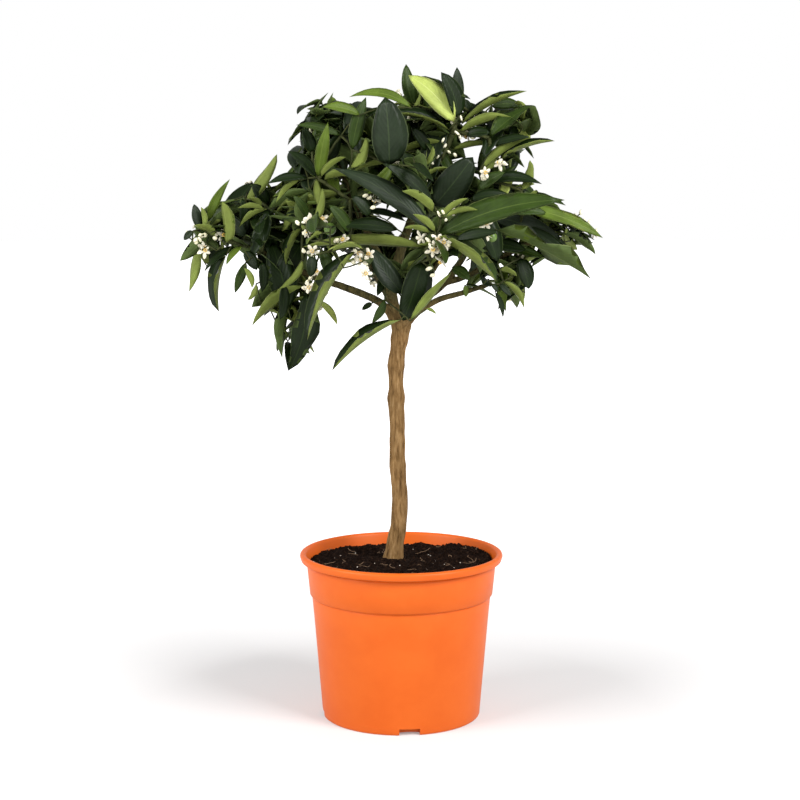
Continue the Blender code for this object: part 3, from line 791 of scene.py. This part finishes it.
# How a leaf is turned and coloured: roll towards its upper edge, fold, waviness, upper side, underside.
leafPoses = {
    "dark": (24, 16, 0.06, "darkTop", "oldUnder"),
    # painted sheen: the dark leaf with a bluish grey top
    "sheenedDark": (18, 12, 0.05, "sheenedDarkTop", "oldUnder"),
    "mid": (26, 18, 0.06, "midTop", "oldUnder"),
    "fresh": (26, 20, 0.08, "freshTop", "paleUnder"),
    "lime": (20, 14, 0.04, "limeTop", "paleUnder"),
    "pale": (126, 24, 0.08, "freshTop", "paleUnder"),
    "split": (72, 38, 0.06, "darkTop", "paleUnder"),
    "splitMid": (74, 36, 0.06, "midTop", "paleUnder"),
    "wavyFresh": (30, 16, 0.38, "freshTop", "paleUnder"),
    "wavyPale": (118, 20, 0.36, "freshTop", "oldUnder"),
    "wavyDark": (20, 14, 0.26, "darkTop", "oldUnder"),
    "wavyMid": (34, 20, 0.30, "midTop", "oldUnder"),
}
# How far a shown leaf strays from its pose: degrees, metres, and shares of its length.
leafPlay = {
    "roll": 8, "fold": 5, "depth": 0.011, "tipNearer": -0.35, "tipFurther": 0.12,
    "flattest": 0.02, "mostArched": 0.07, "narrowest": 0.20, "widest": 0.62, "upright": 1.2,
}

# Leaves that the photograph shows singly, by shoot: how far back the shoot stands in metres, then
# for each leaf its foot and tip in pixels of the photograph, its width there, its pose and its bow.
shownLeaves = {
    "leftArm": (-0.015, (
        (246, 199, 277, 154, 13, "pale", -7), (208, 222, 230, 179, 10, "fresh", -5),
        (226, 243, 222, 201, 14, "pale", 2), (199, 228, 194, 204, 11, "sheenedDark", 0),
        (203, 228, 201, 207, 6, "pale", 0), (193, 231, 184, 240, 7, "dark", 0),
        (197, 243, 189, 292, 10, "pale", -5), (243, 246, 204, 272, 8, "dark", 5),
        (226, 256, 219, 312, 13, "split", -7), (240, 240, 242, 198, 14, "dark", 3),
        (246, 236, 226, 214, 14, "sheenedDark", 0), (268, 205, 252, 184, 15, "dark", 0),
        (262, 207, 247, 198, 6, "pale", 1), (264, 209, 238, 208, 6, "pale", 1),
        (268, 209, 239, 227, 7, "pale", 2))),
    "leftUnder": (-0.032, (
        (246, 262, 235, 293, 10, "mid", -2), (245, 251, 257, 270, 14, "dark", 0),
        (244, 268, 252, 288, 10, "pale", 0), (256, 284, 248, 300, 8, "pale", 0),
        (262, 262, 262, 292, 11, "dark", 1), (303, 260, 279, 289, 8, "pale", 2),
        (303, 228, 286, 265, 15, "split", 3), (284, 284, 280, 320, 12, "dark", 1),
        (303, 286, 252, 326, 13, "pale", 5), (306, 292, 288, 371, 27, "wavyDark", 5),
        (312, 290, 303, 328, 10, "pale", 1))),
    "upperLeft": (-0.052, (
        (308, 178, 267, 184, 9, "dark", 4), (300, 180, 276, 203, 6, "pale", 2),
        (318, 177, 328, 122, 14, "fresh", -3), (316, 177, 288, 151, 12, "dark", 3),
        (321, 177, 346, 157, 7, "pale", 3), (324, 180, 350, 176, 8, "pale", 3),
        (312, 152, 303, 128, 16, "dark", 0), (326, 160, 338, 134, 16, "dark", 0),
        (341, 136, 296, 125, 9, "mid", 3), (360, 115, 322, 107, 11, "fresh", 3),
        (412, 108, 349, 97, 10, "fresh", 9), (352, 150, 366, 97, 16, "mid", -3),
        (389, 166, 385, 97, 42, "sheenedDark", 0), (350, 168, 366, 137, 11, "pale", 2),
        (308, 218, 293, 195, 10, "mid", 1), (313, 221, 322, 188, 8, "pale", 1),
        (326, 228, 346, 206, 6, "pale", 3))),
    "frontLeft": (-0.078, (
        (434, 233, 333, 168, 17, "sheenedDark", 8), (433, 205, 383, 163, 16, "dark", 3),
        (426, 248, 303, 247, 9, "pale", 3), (398, 230, 340, 226, 15, "dark", 3),
        (357, 250, 307, 341, 18, "split", -4), (312, 256, 310, 277, 13, "dark", 0),
        (322, 250, 328, 275, 13, "mid", 0), (385, 272, 377, 296, 10, "dark", 0),
        (385, 300, 372, 323, 9, "mid", 0), (372, 303, 362, 310, 6, "dark", 0),
        (370, 215, 352, 196, 13, "dark", 1), (350, 232, 329, 205, 14, "mid", 1))),
    "crownTop": (-0.012, (
        (414, 106, 406, 64, 15, "mid", -4), (455, 122, 408, 75, 24, "lime", 4),
        (458, 118, 441, 72, 19, "dark", 4), (459, 104, 457, 67, 13, "sheenedDark", -1),
        (470, 113, 465, 99, 10, "dark", 0), (449, 130, 385, 114, 10, "split", 3),
        (443, 142, 392, 158, 9, "pale", 5), (414, 106, 420, 93, 6, "pale", 0),
        (461, 125, 527, 91, 10, "split", 2), (459, 133, 512, 117, 10, "pale", 2),
        (489, 138, 533, 105, 14, "wavyMid", 2), (452, 150, 495, 144, 7, "pale", 1),
        (467, 135, 490, 133, 11, "dark", 1), (490, 145, 531, 137, 9, "dark", 2),
        (481, 170, 531, 137, 9, "pale", 3), (500, 160, 555, 141, 9, "split", 2),
        (484, 170, 497, 153, 6, "pale", 1), (424, 165, 433, 146, 12, "pale", 1),
        (434, 206, 473, 157, 34, "sheenedDark", 0), (428, 150, 412, 128, 13, "dark", 1),
        (398, 152, 408, 122, 14, "mid", 1))),
    "rightShoulder": (-0.03, (
        (484, 183, 542, 184, 12, "dark", 6), (521, 190, 530, 160, 10, "pale", 1),
        (522, 190, 535, 184, 7, "pale", 0), (485, 215, 567, 245, 22, "sheenedDark", 4),
        (522, 208, 603, 238, 15, "wavyFresh", 4), (497, 230, 591, 279, 17, "wavyPale", 5),
        (494, 243, 526, 250, 14, "dark", 0), (488, 242, 545, 257, 13, "wavyMid", -3),
        (470, 200, 512, 196, 13, "dark", 2), (505, 212, 548, 214, 12, "mid", 2),
        (520, 226, 575, 262, 13, "dark", 3), (478, 190, 505, 172, 12, "mid", 1))),
    "rightLow": (-0.022, (
        (520, 258, 529, 289, 17, "dark", 0), (500, 270, 517, 276, 7, "pale", 1),
        (503, 281, 524, 308, 7, "pale", 3), (495, 292, 503, 318, 6, "dark", 2),
        (500, 284, 511, 296, 7, "sheenedDark", 0), (492, 284, 498, 292, 6, "dark", 0),
        (465, 285, 466, 297, 6, "fresh", 0), (478, 262, 500, 268, 12, "dark", 1),
        (452, 268, 470, 280, 12, "mid", 1))),
    "frontCentre": (-0.088, (
        (433, 212, 402, 191, 10, "pale", 2), (435, 232, 413, 214, 8, "pale", 1),
        (441, 218, 468, 198, 7, "pale", 1), (446, 217, 478, 210, 7, "pale", 1),
        (437, 236, 565, 200, 27, "mid", 8), (437, 237, 497, 282, 25, "splitMid", 4),
        (430, 233, 404, 228, 6, "pale", 1), (422, 262, 403, 321, 31, "dark", -1),
        (410, 321, 452, 272, 9, "pale", -3), (400, 320, 332, 371, 13, "split", 4),
        (426, 309, 436, 314, 6, "pale", 0), (455, 240, 500, 232, 12, "dark", 2))),
}
shownStems = {
    "top": (-0.012, ((420, 200), (427, 185), (433, 170), (440, 160), (447, 148), (452, 135), (456, 122))),
    "front": (-0.088, ((423, 262), (425, 250), (433, 243), (436, 236), (440, 225), (441, 218))),
    "upperLeft": (-0.045, ((350, 200), (338, 192), (326, 184), (317, 178))),
    "leftTip": (-0.013, ((243, 246), (225, 240), (208, 234), (197, 232))),
    "leftLoop": (-0.020, ((266, 279), (278, 280), (290, 281), (305, 284))),
    "leftShoot": (-0.014, ((262, 252), (264, 236), (266, 220), (267, 207))),
    "rightShoot": (-0.028, ((463, 258), (474, 244), (484, 230), (492, 218))),
}
# Places where white shows through or beside the crown, as pixel boxes: left, top, right, bottom.
skyWindows = (
    (340, 288, 398, 340), (430, 312, 520, 400), (150, 150, 240, 196), (150, 60, 285, 150),
    (540, 60, 650, 196), (560, 255, 650, 400), (150, 275, 214, 400), (206, 318, 276, 400), (425, 60, 440, 78),
    (474, 60, 520, 98), (230, 60, 320, 104), (468, 296, 492, 330), (534, 262, 560, 330), (320, 338, 396, 400),
)
massNames = [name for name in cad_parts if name.startswith("mass_")]
massBoxes = [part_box(name) for name in massNames]


# Twigs: grown from the nearest wood to each leaf, and noted point by point so that they can thicken

twig = {
    "tooNear": 0.0012, "step": 0.007, "sag": 0.12, "stemSag": 0.03, "bendShare": 0.6, "skippedAtFork": 3,
    "thinnest": 0.00042, "perLeaf": 0.00012, "forkSwell": 1.25, "sides": 6,
}
wood = []                              # points along all wood: place, index of the one below, leaves carried
twigPaths = []


def startWood(routes):
    for name, route in routes.items():
        if name == "trunk":
            continue
        for point in route[twig["skippedAtFork"]:]:
            wood.append({"place": point, "below": None, "load": 0, "limb": True})


def nearestWood(point):
    return min(range(len(wood)), key=lambda index: (wood[index]["place"] - point).length_squared)


def growTwig(target, draw, sag=twig["sag"]):
    startIndex = nearestWood(target)
    start = wood[startIndex]["place"]
    reach = (target - start).length
    if reach < twig["tooNear"]:
        return startIndex
    count = max(1, round(reach / twig["step"]))
    bend = Vector((draw.uniform(-1, 1), draw.uniform(-1, 1), draw.uniform(-0.4, 1.4))) * (reach * sag)
    path = [startIndex]
    for k in range(1, count + 1):
        t = k / count
        place = start.lerp(target, t) + bend * (4 * t * (1 - t)) * twig["bendShare"]
        wood.append({"place": place, "below": path[-1], "load": 0, "limb": False})
        path.append(len(wood) - 1)
    twigPaths.append(path)
    return path[-1]


def carry(index):                      # all the wood below bears one leaf or flower more
    while index is not None:
        wood[index]["load"] += 1
        index = wood[index]["below"]


def growShownStems():
    for stemName, (depth, pixels) in shownStems.items():
        draw = random.Random(stemName)
        for u, v in pixels:
            carry(growTwig(pixelPoint(u, v, depth), draw, twig["stemSag"]))


def addShownLeaf(bucket, row, depth, draw):
    footU, footV, tipU, tipV, pixelWidth, pose, bow = row
    roll, fold, wave, topName, underName = leafPoses[pose]
    roll = math.radians(roll + draw.uniform(-leafPlay["roll"], leafPlay["roll"]))
    fold = math.radians(fold + draw.uniform(-leafPlay["fold"], leafPlay["fold"]))
    footDepth = depth + draw.uniform(-leafPlay["depth"], leafPlay["depth"])
    foot = pixelPoint(footU, footV, footDepth)
    shownLength = (pixelPoint(tipU, tipV, footDepth) - foot).length
    tipShift = draw.uniform(leafPlay["tipNearer"], leafPlay["tipFurther"]) * shownLength
    tip = pixelPoint(tipU, tipV, footDepth + tipShift)
    along = (tip - foot).normalized()
    toViewer = view["place"] - foot
    toViewer = (toViewer - along * toViewer.dot(along)).normalized()
    screenUp = along.cross(toViewer)
    tall = abs(tipV - footV) > leafPlay["upright"] * abs(tipU - footU)
    if (screenUp.x < 0) if tall else (screenUp.z < 0):
        screenUp = -screenUp
    if tall and tipV > footV and pose in ("split", "splitMid"):
        roll = -roll                   # a hanging folded leaf shows its underside on the left
    face = toViewer * math.cos(roll) + screenUp * math.sin(roll)
    spans = (math.cos(fold - roll), -math.cos(fold + roll), 0.0)
    metresPerPixel = (foot - view["place"]).length / view["focalPixels"]
    length = (tip - foot).length
    width = 2 * pixelWidth * metresPerPixel / (max(spans) - min(spans))
    width = min(max(width, leafPlay["narrowest"] * length), leafPlay["widest"] * length)
    bowSide = along.cross(face).dot(screenUp)
    bowOut = bow * metresPerPixel * (1 if bowSide > 0 else -1) * abs(bowSide)
    arch = draw.uniform(leafPlay["flattest"], leafPlay["mostArched"])
    addLeaf(bucket, foot, tip, face, width, fold, arch, bowOut, wave,
            leafSlots.index(topName), leafSlots.index(underName), draw)
    carry(growTwig(foot, draw))


startWood(limbRoutes)
growShownStems()
leafBucket = newBucket()
for shootName, (depth, rows) in shownLeaves.items():
    draw = random.Random("leaf " + shootName)
    for row in rows:
        addShownLeaf(leafBucket, row, depth, draw)
print("shown leaves", sum(len(rows) for depth, rows in shownLeaves.values()))


# Leaves by rule: shoots inside the masses, each in one colour, clear of the white places
# and of the leaves that the photograph shows singly

growth = {
    "seed": 5, "shootsPerMass": 58, "shortest": 0.028, "longest": 0.058, "youngShare": 0.82,
    "nearest": 0.30, "furthest": 0.86, "clearance": 0.003, "crownDepth": 0.2, "tipEase": 1.04,
    "fewest": 3, "most": 5, "spiral": 2.4, "narrowest": 0.34, "widest": 0.46,
}
# Up to which draw a shoot has this colour, and the length of its leaves as a share.
shootKinds = (
    (0.42, "darkTop", "oldUnder", 1.0),
    (0.66, "midTop", "oldUnder", 1.0),
    # painted sheen: dark leaves with bluish grey tops
    (0.82, "sheenedDarkTop", "oldUnder", 1.0),
    (0.96, "freshTop", "paleUnder", growth["youngShare"]),
    (1.01, "limeTop", "paleUnder", growth["youngShare"]),
)


def insideMasses(point, ease=1.0):
    for low, high in massBoxes:
        middle, half = (low + high) / 2, (high - low) / 2
        away = sum(((point[axis] - middle[axis]) / (half[axis] * ease)) ** 2 for axis in range(3))
        if away < 1.0:
            return True
    return False


def inSky(point):
    u, v = pixelOf(point)
    return any(left < u < right and top < v < bottom for left, top, right, bottom in skyWindows)


shownTree = BVHTree.FromPolygons([tuple(p) for p in leafBucket["points"]], leafBucket["faces"])


def hidesShown(point):                 # in front of a leaf that the photograph shows singly, or touching it
    away = (point - view["place"]).normalized()
    if shownTree.ray_cast(point - away * growth["clearance"], away, growth["crownDepth"])[0]:
        return True
    return shownTree.find_nearest(point, growth["clearance"])[0] is not None


def bladePoints(foot, tip, face, width):
    side = (tip - foot).normalized().cross(face).normalized() * (width / 2)
    middle = foot.lerp(tip, 0.5)
    return [foot.lerp(tip, 0.25), middle, foot.lerp(tip, 0.75), tip, middle + side, middle - side]


def insideBox(low, high, direction, reach):
    middle, half = (low + high) / 2, (high - low) / 2
    return middle + Vector([direction[axis] * half[axis] * reach for axis in range(3)])


def growLeaf(bucket, node, heading, growing, length, topName, underName, draw):
    foot = wood[node]["place"]
    tip = foot + heading * length
    if not insideMasses(tip, growth["tipEase"]) or not insideMasses(foot.lerp(tip, 0.5)):
        return 0
    face = Vector((0, 0, 1.0)) + growing * 0.6
    face += Vector((draw.gauss(0, 0.35), draw.gauss(0, 0.35), draw.gauss(0, 0.2)))
    width = length * draw.uniform(growth["narrowest"], growth["widest"])
    if any(inSky(point) or hidesShown(point) for point in bladePoints(foot, tip, face, width)):
        return 0
    addLeaf(bucket, foot, tip, face, width, math.radians(draw.uniform(8, 30)),
            draw.uniform(0.03, 0.10), draw.uniform(-0.003, 0.003), draw.uniform(0.0, 0.16),
            leafSlots.index(topName), leafSlots.index(underName), draw)
    carry(node)
    return 1


def growShoot(bucket, shoot, draw):
    growing = (wood[shoot[-1]]["place"] - wood[shoot[-2]]["place"]).normalized()
    age = draw.random()
    topName, underName, share = next(kind[1:] for kind in shootKinds if age < kind[0])
    turn = draw.uniform(0, anyTurn)
    grown = 0
    for k in range(draw.randint(growth["fewest"], growth["most"])):
        turn += growth["spiral"]
        length = draw.uniform(growth["shortest"], growth["longest"]) * share
        side = growing.orthogonal().normalized()
        spread = draw.uniform(0.1, 0.5) if k == 0 else draw.uniform(0.6, 1.2)
        outward = onCircle(side, growing.cross(side), turn)
        heading = growing * math.cos(spread) + outward * math.sin(spread)
        heading = (heading + Vector((0, 0, draw.uniform(-0.45, 0.25)))).normalized()
        node = shoot[-1 - min(k, len(shoot) - 1)]
        grown += growLeaf(bucket, node, heading, growing, length, topName, underName, draw)
    return grown


def growByRule(bucket):
    draw = random.Random(growth["seed"])
    grown = 0
    for low, high in massBoxes:
        for _ in range(growth["shootsPerMass"]):
            outward = Vector((draw.gauss(0, 1), draw.gauss(0, 1), draw.gauss(0.15, 1))).normalized()
            target = insideBox(low, high, outward, draw.uniform(growth["nearest"], growth["furthest"]))
            if inSky(target) or hidesShown(target):
                continue
            if growTwig(target, draw) != twigPaths[-1][-1]:
                continue
            grown += growShoot(bucket, twigPaths[-1], draw)
    return grown


ruleLeaves = growByRule(leafBucket)
print("leaves by rule", ruleLeaves)
leafPiece = makePiece("leaves", leafBucket, leafMaterials, withUv=True)
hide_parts(*massNames)


# Blossom: open flowers and buds, by cluster: pixel box, how far back, open flowers, buds

blossomClusters = {
    "leftTip": (195, 232, 225, 253, -0.020, 3, 9), "leftFruit": (298, 216, 326, 238, -0.066, 3, 5),
    "leftSmall": (303, 248, 313, 256, -0.070, 1, 2), "leftMiddle": (333, 240, 345, 247, -0.082, 1, 3),
    "middle": (353, 248, 373, 275, -0.086, 4, 7), "leftLow": (300, 272, 316, 290, -0.060, 2, 4),
    "centre": (430, 240, 450, 258, -0.096, 4, 3), "right": (473, 220, 488, 240, -0.060, 2, 5),
    "rightHigh": (477, 172, 486, 182, -0.040, 1, 3), "rightEdge": (497, 160, 505, 166, -0.030, 1, 2),
}
shownBuds = {                          # how far back, then each bud's pixel
    "topShoot": (-0.016, ((447, 118), (456, 115), (461, 118), (452, 123), (457, 133), (460, 137), (443, 140),
                          (445, 146), (449, 152), (455, 155), (432, 163), (438, 158))),
    "topLeft": (-0.020, ((414, 175), (418, 178), (421, 184), (425, 182), (409, 117), (413, 120))),
    "frontShoot": (-0.094, ((439, 214), (443, 212), (446, 220), (428, 240), (431, 246))),
}
blossom = {
    "petals": 5, "petalWidth": 0.0030, "petalShortest": 0.0048, "petalLongest": 0.0066, "petalHalf": 0.00022,
    "petalDish": 0.22, "petalOutline": ((0.0, 0.25), (0.3, 0.75), (0.62, 1.0), (0.88, 0.7), (1.0, 0.12)),
    "stamens": 6, "stamenLift": 0.0022, "stamenRing": 0.0012, "stamenLength": 0.0026, "stamenRadius": 0.0005,
    "clusterDepth": 0.006, "stalk": 0.002, "farClusters": 46, "farReach": 0.8, "farBuds": 3,
    "farSpread": 0.004, "farStalk": 0.004, "farBudLength": 0.005, "farBudRadius": 0.0016,
}
fruitlets = {                          # pixel, how far back, radius
    "left": (330, 229, -0.068, 0.0049), "right": (492, 237, -0.052, 0.0041),
}
petalSlot, budSlot, stamenSlot = 0, 1, 2
budRise = Vector((0, 0, 0.6))


def addBall(bucket, centre, axis, length, radius, slot, sides=7, rows=4):
    axis = axis.normalized()
    side = axis.orthogonal().normalized()
    other = axis.cross(side)
    start = len(bucket["points"])
    bucket["points"] += [centre - axis * length / 2, centre + axis * length / 2]
    for row in range(1, rows + 1):
        lean = math.pi * row / (rows + 1)
        ringCentre = centre - axis * (math.cos(lean) * length / 2)
        for k in range(sides):
            spoke = onCircle(side, other, 2 * math.pi * k / sides)
            bucket["points"].append(ringCentre + spoke * (math.sin(lean) * radius))
    last = start + 2 + (rows - 1) * sides
    for k in range(sides):
        following = (k + 1) % sides
        bucket["faces"].append((start, start + 2 + following, start + 2 + k))
        for row in range(rows - 1):
            low = start + 2 + row * sides
            high = low + sides
            bucket["faces"].append((low + k, low + following, high + following, high + k))
        bucket["faces"].append((start + 1, last + k, last + following))
    bucket["slots"] += [slot] * (sides * (rows + 1))


def addPetal(bucket, foot, heading, face, length, width, curl):
    side = heading.cross(face).normalized()
    start = len(bucket["points"])
    for t, wide in blossom["petalOutline"]:
        centre = foot + heading * (length * t) + face * (length * curl * t * t)
        for layer in (blossom["petalHalf"], -blossom["petalHalf"]):
            for across in (-1, 0, 1):
                dish = face * (blossom["petalDish"] * width * abs(across) * wide)
                point = centre + side * (across * wide * width / 2) + dish + face * layer
                bucket["points"].append(point)
    rings = len(blossom["petalOutline"])
    for row in range(rings - 1):
        a, b = start + row * 6, start + row * 6 + 6
        for k in range(2):
            bucket["faces"].append((a + k, a + k + 1, b + k + 1, b + k))
            bucket["faces"].append((a + 4 + k, a + 3 + k, b + 3 + k, b + 4 + k))
        bucket["faces"].append((a + 3, a, b, b + 3))
        bucket["faces"].append((a + 2, a + 5, b + 5, b + 2))
    end = start + (rings - 1) * 6
    bucket["faces"].append((start + 3, start + 4, start + 5, start + 2, start + 1, start))
    bucket["faces"].append((end, end + 1, end + 2, end + 5, end + 4, end + 3))
    bucket["slots"] += [petalSlot] * (6 * (rings - 1) + 2)


def addFlower(bucket, centre, face, draw):
    face = face.normalized()
    side = face.orthogonal().normalized()
    other = face.cross(side)
    turn = draw.uniform(0, anyTurn)
    for k in range(blossom["petals"]):
        spoke = onCircle(side, other, turn + 2 * math.pi * k / blossom["petals"])
        heading = (spoke + face * draw.uniform(-0.1, 0.35)).normalized()
        length = draw.uniform(blossom["petalShortest"], blossom["petalLongest"])
        addPetal(bucket, centre, heading, face, length, blossom["petalWidth"], draw.uniform(-0.3, 0.1))
    for k in range(blossom["stamens"]):
        spoke = onCircle(side, other, turn + 2 * math.pi * k / blossom["stamens"])
        place = centre + face * blossom["stamenLift"] + spoke * blossom["stamenRing"]
        addBall(bucket, place, face, blossom["stamenLength"], blossom["stamenRadius"], stamenSlot, 5, 2)


def addClusters(bucket):
    for name, (left, top, right, bottom, depth, flowers, buds) in blossomClusters.items():
        draw = random.Random("blossom " + name)
        for k in range(flowers + buds):
            u, v = draw.uniform(left, right), draw.uniform(top, bottom)
            place = pixelPoint(u, v, depth + draw.uniform(-blossom["clusterDepth"], blossom["clusterDepth"]))
            aim = Vector((draw.uniform(-0.8, 0.8), -1.0, draw.uniform(-0.3, 0.9)))
            if k < flowers:
                addFlower(bucket, place, aim, draw)
            else:
                addBall(bucket, place, aim + budRise, draw.uniform(0.004, 0.0062),
                        draw.uniform(0.0013, 0.0019), budSlot)
            carry(growTwig(place - aim.normalized() * blossom["stalk"], draw))


def addShownBuds(bucket):
    for name, (depth, pixels) in shownBuds.items():
        draw = random.Random("bud " + name)
        for u, v in pixels:
            place = pixelPoint(u, v, depth + draw.uniform(-0.003, 0.003))
            aim = Vector((draw.uniform(-0.9, 0.9), draw.uniform(-0.9, 0.2), draw.uniform(0.2, 1.0)))
            aim.normalize()
            addBall(bucket, place, aim, draw.uniform(0.0042, 0.0060), draw.uniform(0.0010, 0.0014), budSlot)
            carry(growTwig(place - aim * blossom["stalk"], draw))


def addFarBlossom(bucket):             # at the sides and back, which the photograph doesn't show
    for k in range(blossom["farClusters"]):
        low, high = massBoxes[k % len(massBoxes)]
        draw = random.Random("more %d" % k)
        outward = Vector((draw.gauss(0, 1), draw.uniform(0.1, 1.6), draw.gauss(0.1, 0.8))).normalized()
        place = insideBox(low, high, outward, blossom["farReach"])
        if inSky(place) or hidesShown(place):
            continue
        growTwig(place - outward * blossom["farStalk"], draw)
        for m in range(1 + blossom["farBuds"]):
            spot = place + Vector([draw.gauss(0, blossom["farSpread"]) for _ in range(3)])
            if m == 0:
                addFlower(bucket, spot, outward, draw)
            else:
                addBall(bucket, spot, outward + budRise, blossom["farBudLength"],
                        blossom["farBudRadius"], budSlot)
            carry(growTwig(spot - outward * blossom["stalk"], draw))


def makeBlossom():
    bucket = newBucket()
    addClusters(bucket)
    addShownBuds(bucket)
    addFarBlossom(bucket)
    makePiece("blossom", bucket, [finish["petal"], finish["bud"], finish["stamen"]])


def makeFruitlets():
    bucket = newBucket()
    for u, v, depth, radius in fruitlets.values():
        place = pixelPoint(u, v, depth)
        addBall(bucket, place, Vector((0.1, -0.2, 1)), radius * 2, radius, 0, 16, 9)
        carry(growTwig(place + Vector((0, 0, radius * 0.8)), random.Random(u)))
    makePiece("fruitlets", bucket, [finish["fruitlet"]])


makeBlossom()
makeFruitlets()
print("blossom made")


def twigRadius(load):                  # as thick as the leaves that it carries ask for
    return twig["thinnest"] + twig["perLeaf"] * math.sqrt(max(1, load))


def makeTwigs():
    bucket = newBucket()
    for path in twigPaths:
        while len(path) > 1 and wood[path[-1]]["load"] == 0:
            path.pop()                 # a twig ends at its last leaf
        if len(path) < 2:
            continue
        route = [wood[index]["place"] for index in path]
        radii = [twigRadius(wood[index]["load"]) for index in path]
        if wood[path[0]]["limb"]:
            radii[0] = max(radii[0], radii[1])
        else:
            radii[0] = min(radii[0], radii[1] * twig["forkSwell"])
        addTube(bucket, route, radii, twig["sides"])
    makePiece("twigs", bucket, [finish["twig"]])


makeTwigs()
print("twigs made")


# Floor, light and camera

ground = {
    "radius": 9.0, "base": (0.52, 0.512, 0.508, 1), "glowNear": 0.25, "glowFrom": 0.22, "glowRate": 1.1,
}
sky = {"stops": ((0.12, (1.0, 1.0, 1.0)), (0.62, (0.36, 0.36, 0.37))), "strength": 1.0}
lamps = {                              # place, size in metres, power in watts
    "rightSoftbox": ((1.25, -1.15, 1.45), 0.9, 50.0),
    "leftSoftbox": ((-1.45, -0.90, 1.25), 1.1, 38.0),
}
lampAim = Vector((0, 0, 0.25))


def makeFloor():                       # white that glows more away from the pot: painted light, in place of studio light on paper
    material, tree, shader = newMaterial("floor_white", 0.9, 0.1)
    shader.inputs["Base Color"].default_value = ground["base"]
    shader.inputs["Emission Color"].default_value = (1, 1, 1, 1)
    coords = addNode(tree, "ShaderNodeTexCoord")
    away = addNode(tree, "ShaderNodeVectorMath", operation="LENGTH")
    tree.links.new(coords.outputs["Object"], away.inputs[0])
    # painted light: the floor glows, the more the further it is from the pot
    beyond = mathNode(tree, "SUBTRACT", away.outputs["Value"], ground["glowFrom"])
    glow = mathNode(tree, "MULTIPLY", beyond, ground["glowRate"], True)
    glow = mathNode(tree, "ADD", glow, ground["glowNear"])
    tree.links.new(glow, shader.inputs["Emission Strength"])
    bpy.ops.mesh.primitive_circle_add(vertices=96, radius=ground["radius"], fill_type="NGON",
                                      location=(0, 0, 0))
    floor = bpy.context.object
    floor.name = "floor"
    floor.data.materials.append(material)


def makeSky():
    world = bpy.data.worlds.new("studio")
    scene.world = world
    world.use_nodes = True
    tree = world.node_tree
    background = tree.nodes["Background"]
    background.inputs["Strength"].default_value = sky["strength"]
    coords = addNode(tree, "ShaderNodeTexCoord")
    parts = addNode(tree, "ShaderNodeSeparateXYZ")
    tree.links.new(coords.outputs["Generated"], parts.inputs["Vector"])
    tree.links.new(ramp(tree, parts.outputs["Z"], sky["stops"]), background.inputs["Color"])


def makeLamps():
    for name, (place, size, power) in lamps.items():
        lamp = bpy.data.lights.new(name, "AREA")
        lamp.size = size
        lamp.energy = power
        holder = bpy.data.objects.new(name, lamp)
        holder.location = place
        holder.rotation_euler = (lampAim - Vector(place)).to_track_quat("-Z", "Y").to_euler()
        scene.collection.objects.link(holder)


def makeCamera():
    lens = bpy.data.cameras.new("photoView")
    lens.lens = view["lens"]
    lens.sensor_width = view["sensor"]
    lens.clip_start = 0.01
    camera = bpy.data.objects.new("photoView", lens)
    camera.location = view["place"]
    camera.rotation_euler = (math.pi / 2 - view["pitchDown"], 0, 0)
    scene.collection.objects.link(camera)
    scene.camera = camera


makeFloor()
makeSky()
makeLamps()
makeCamera()
scene.view_settings.view_transform = "Standard"
print("studio made")
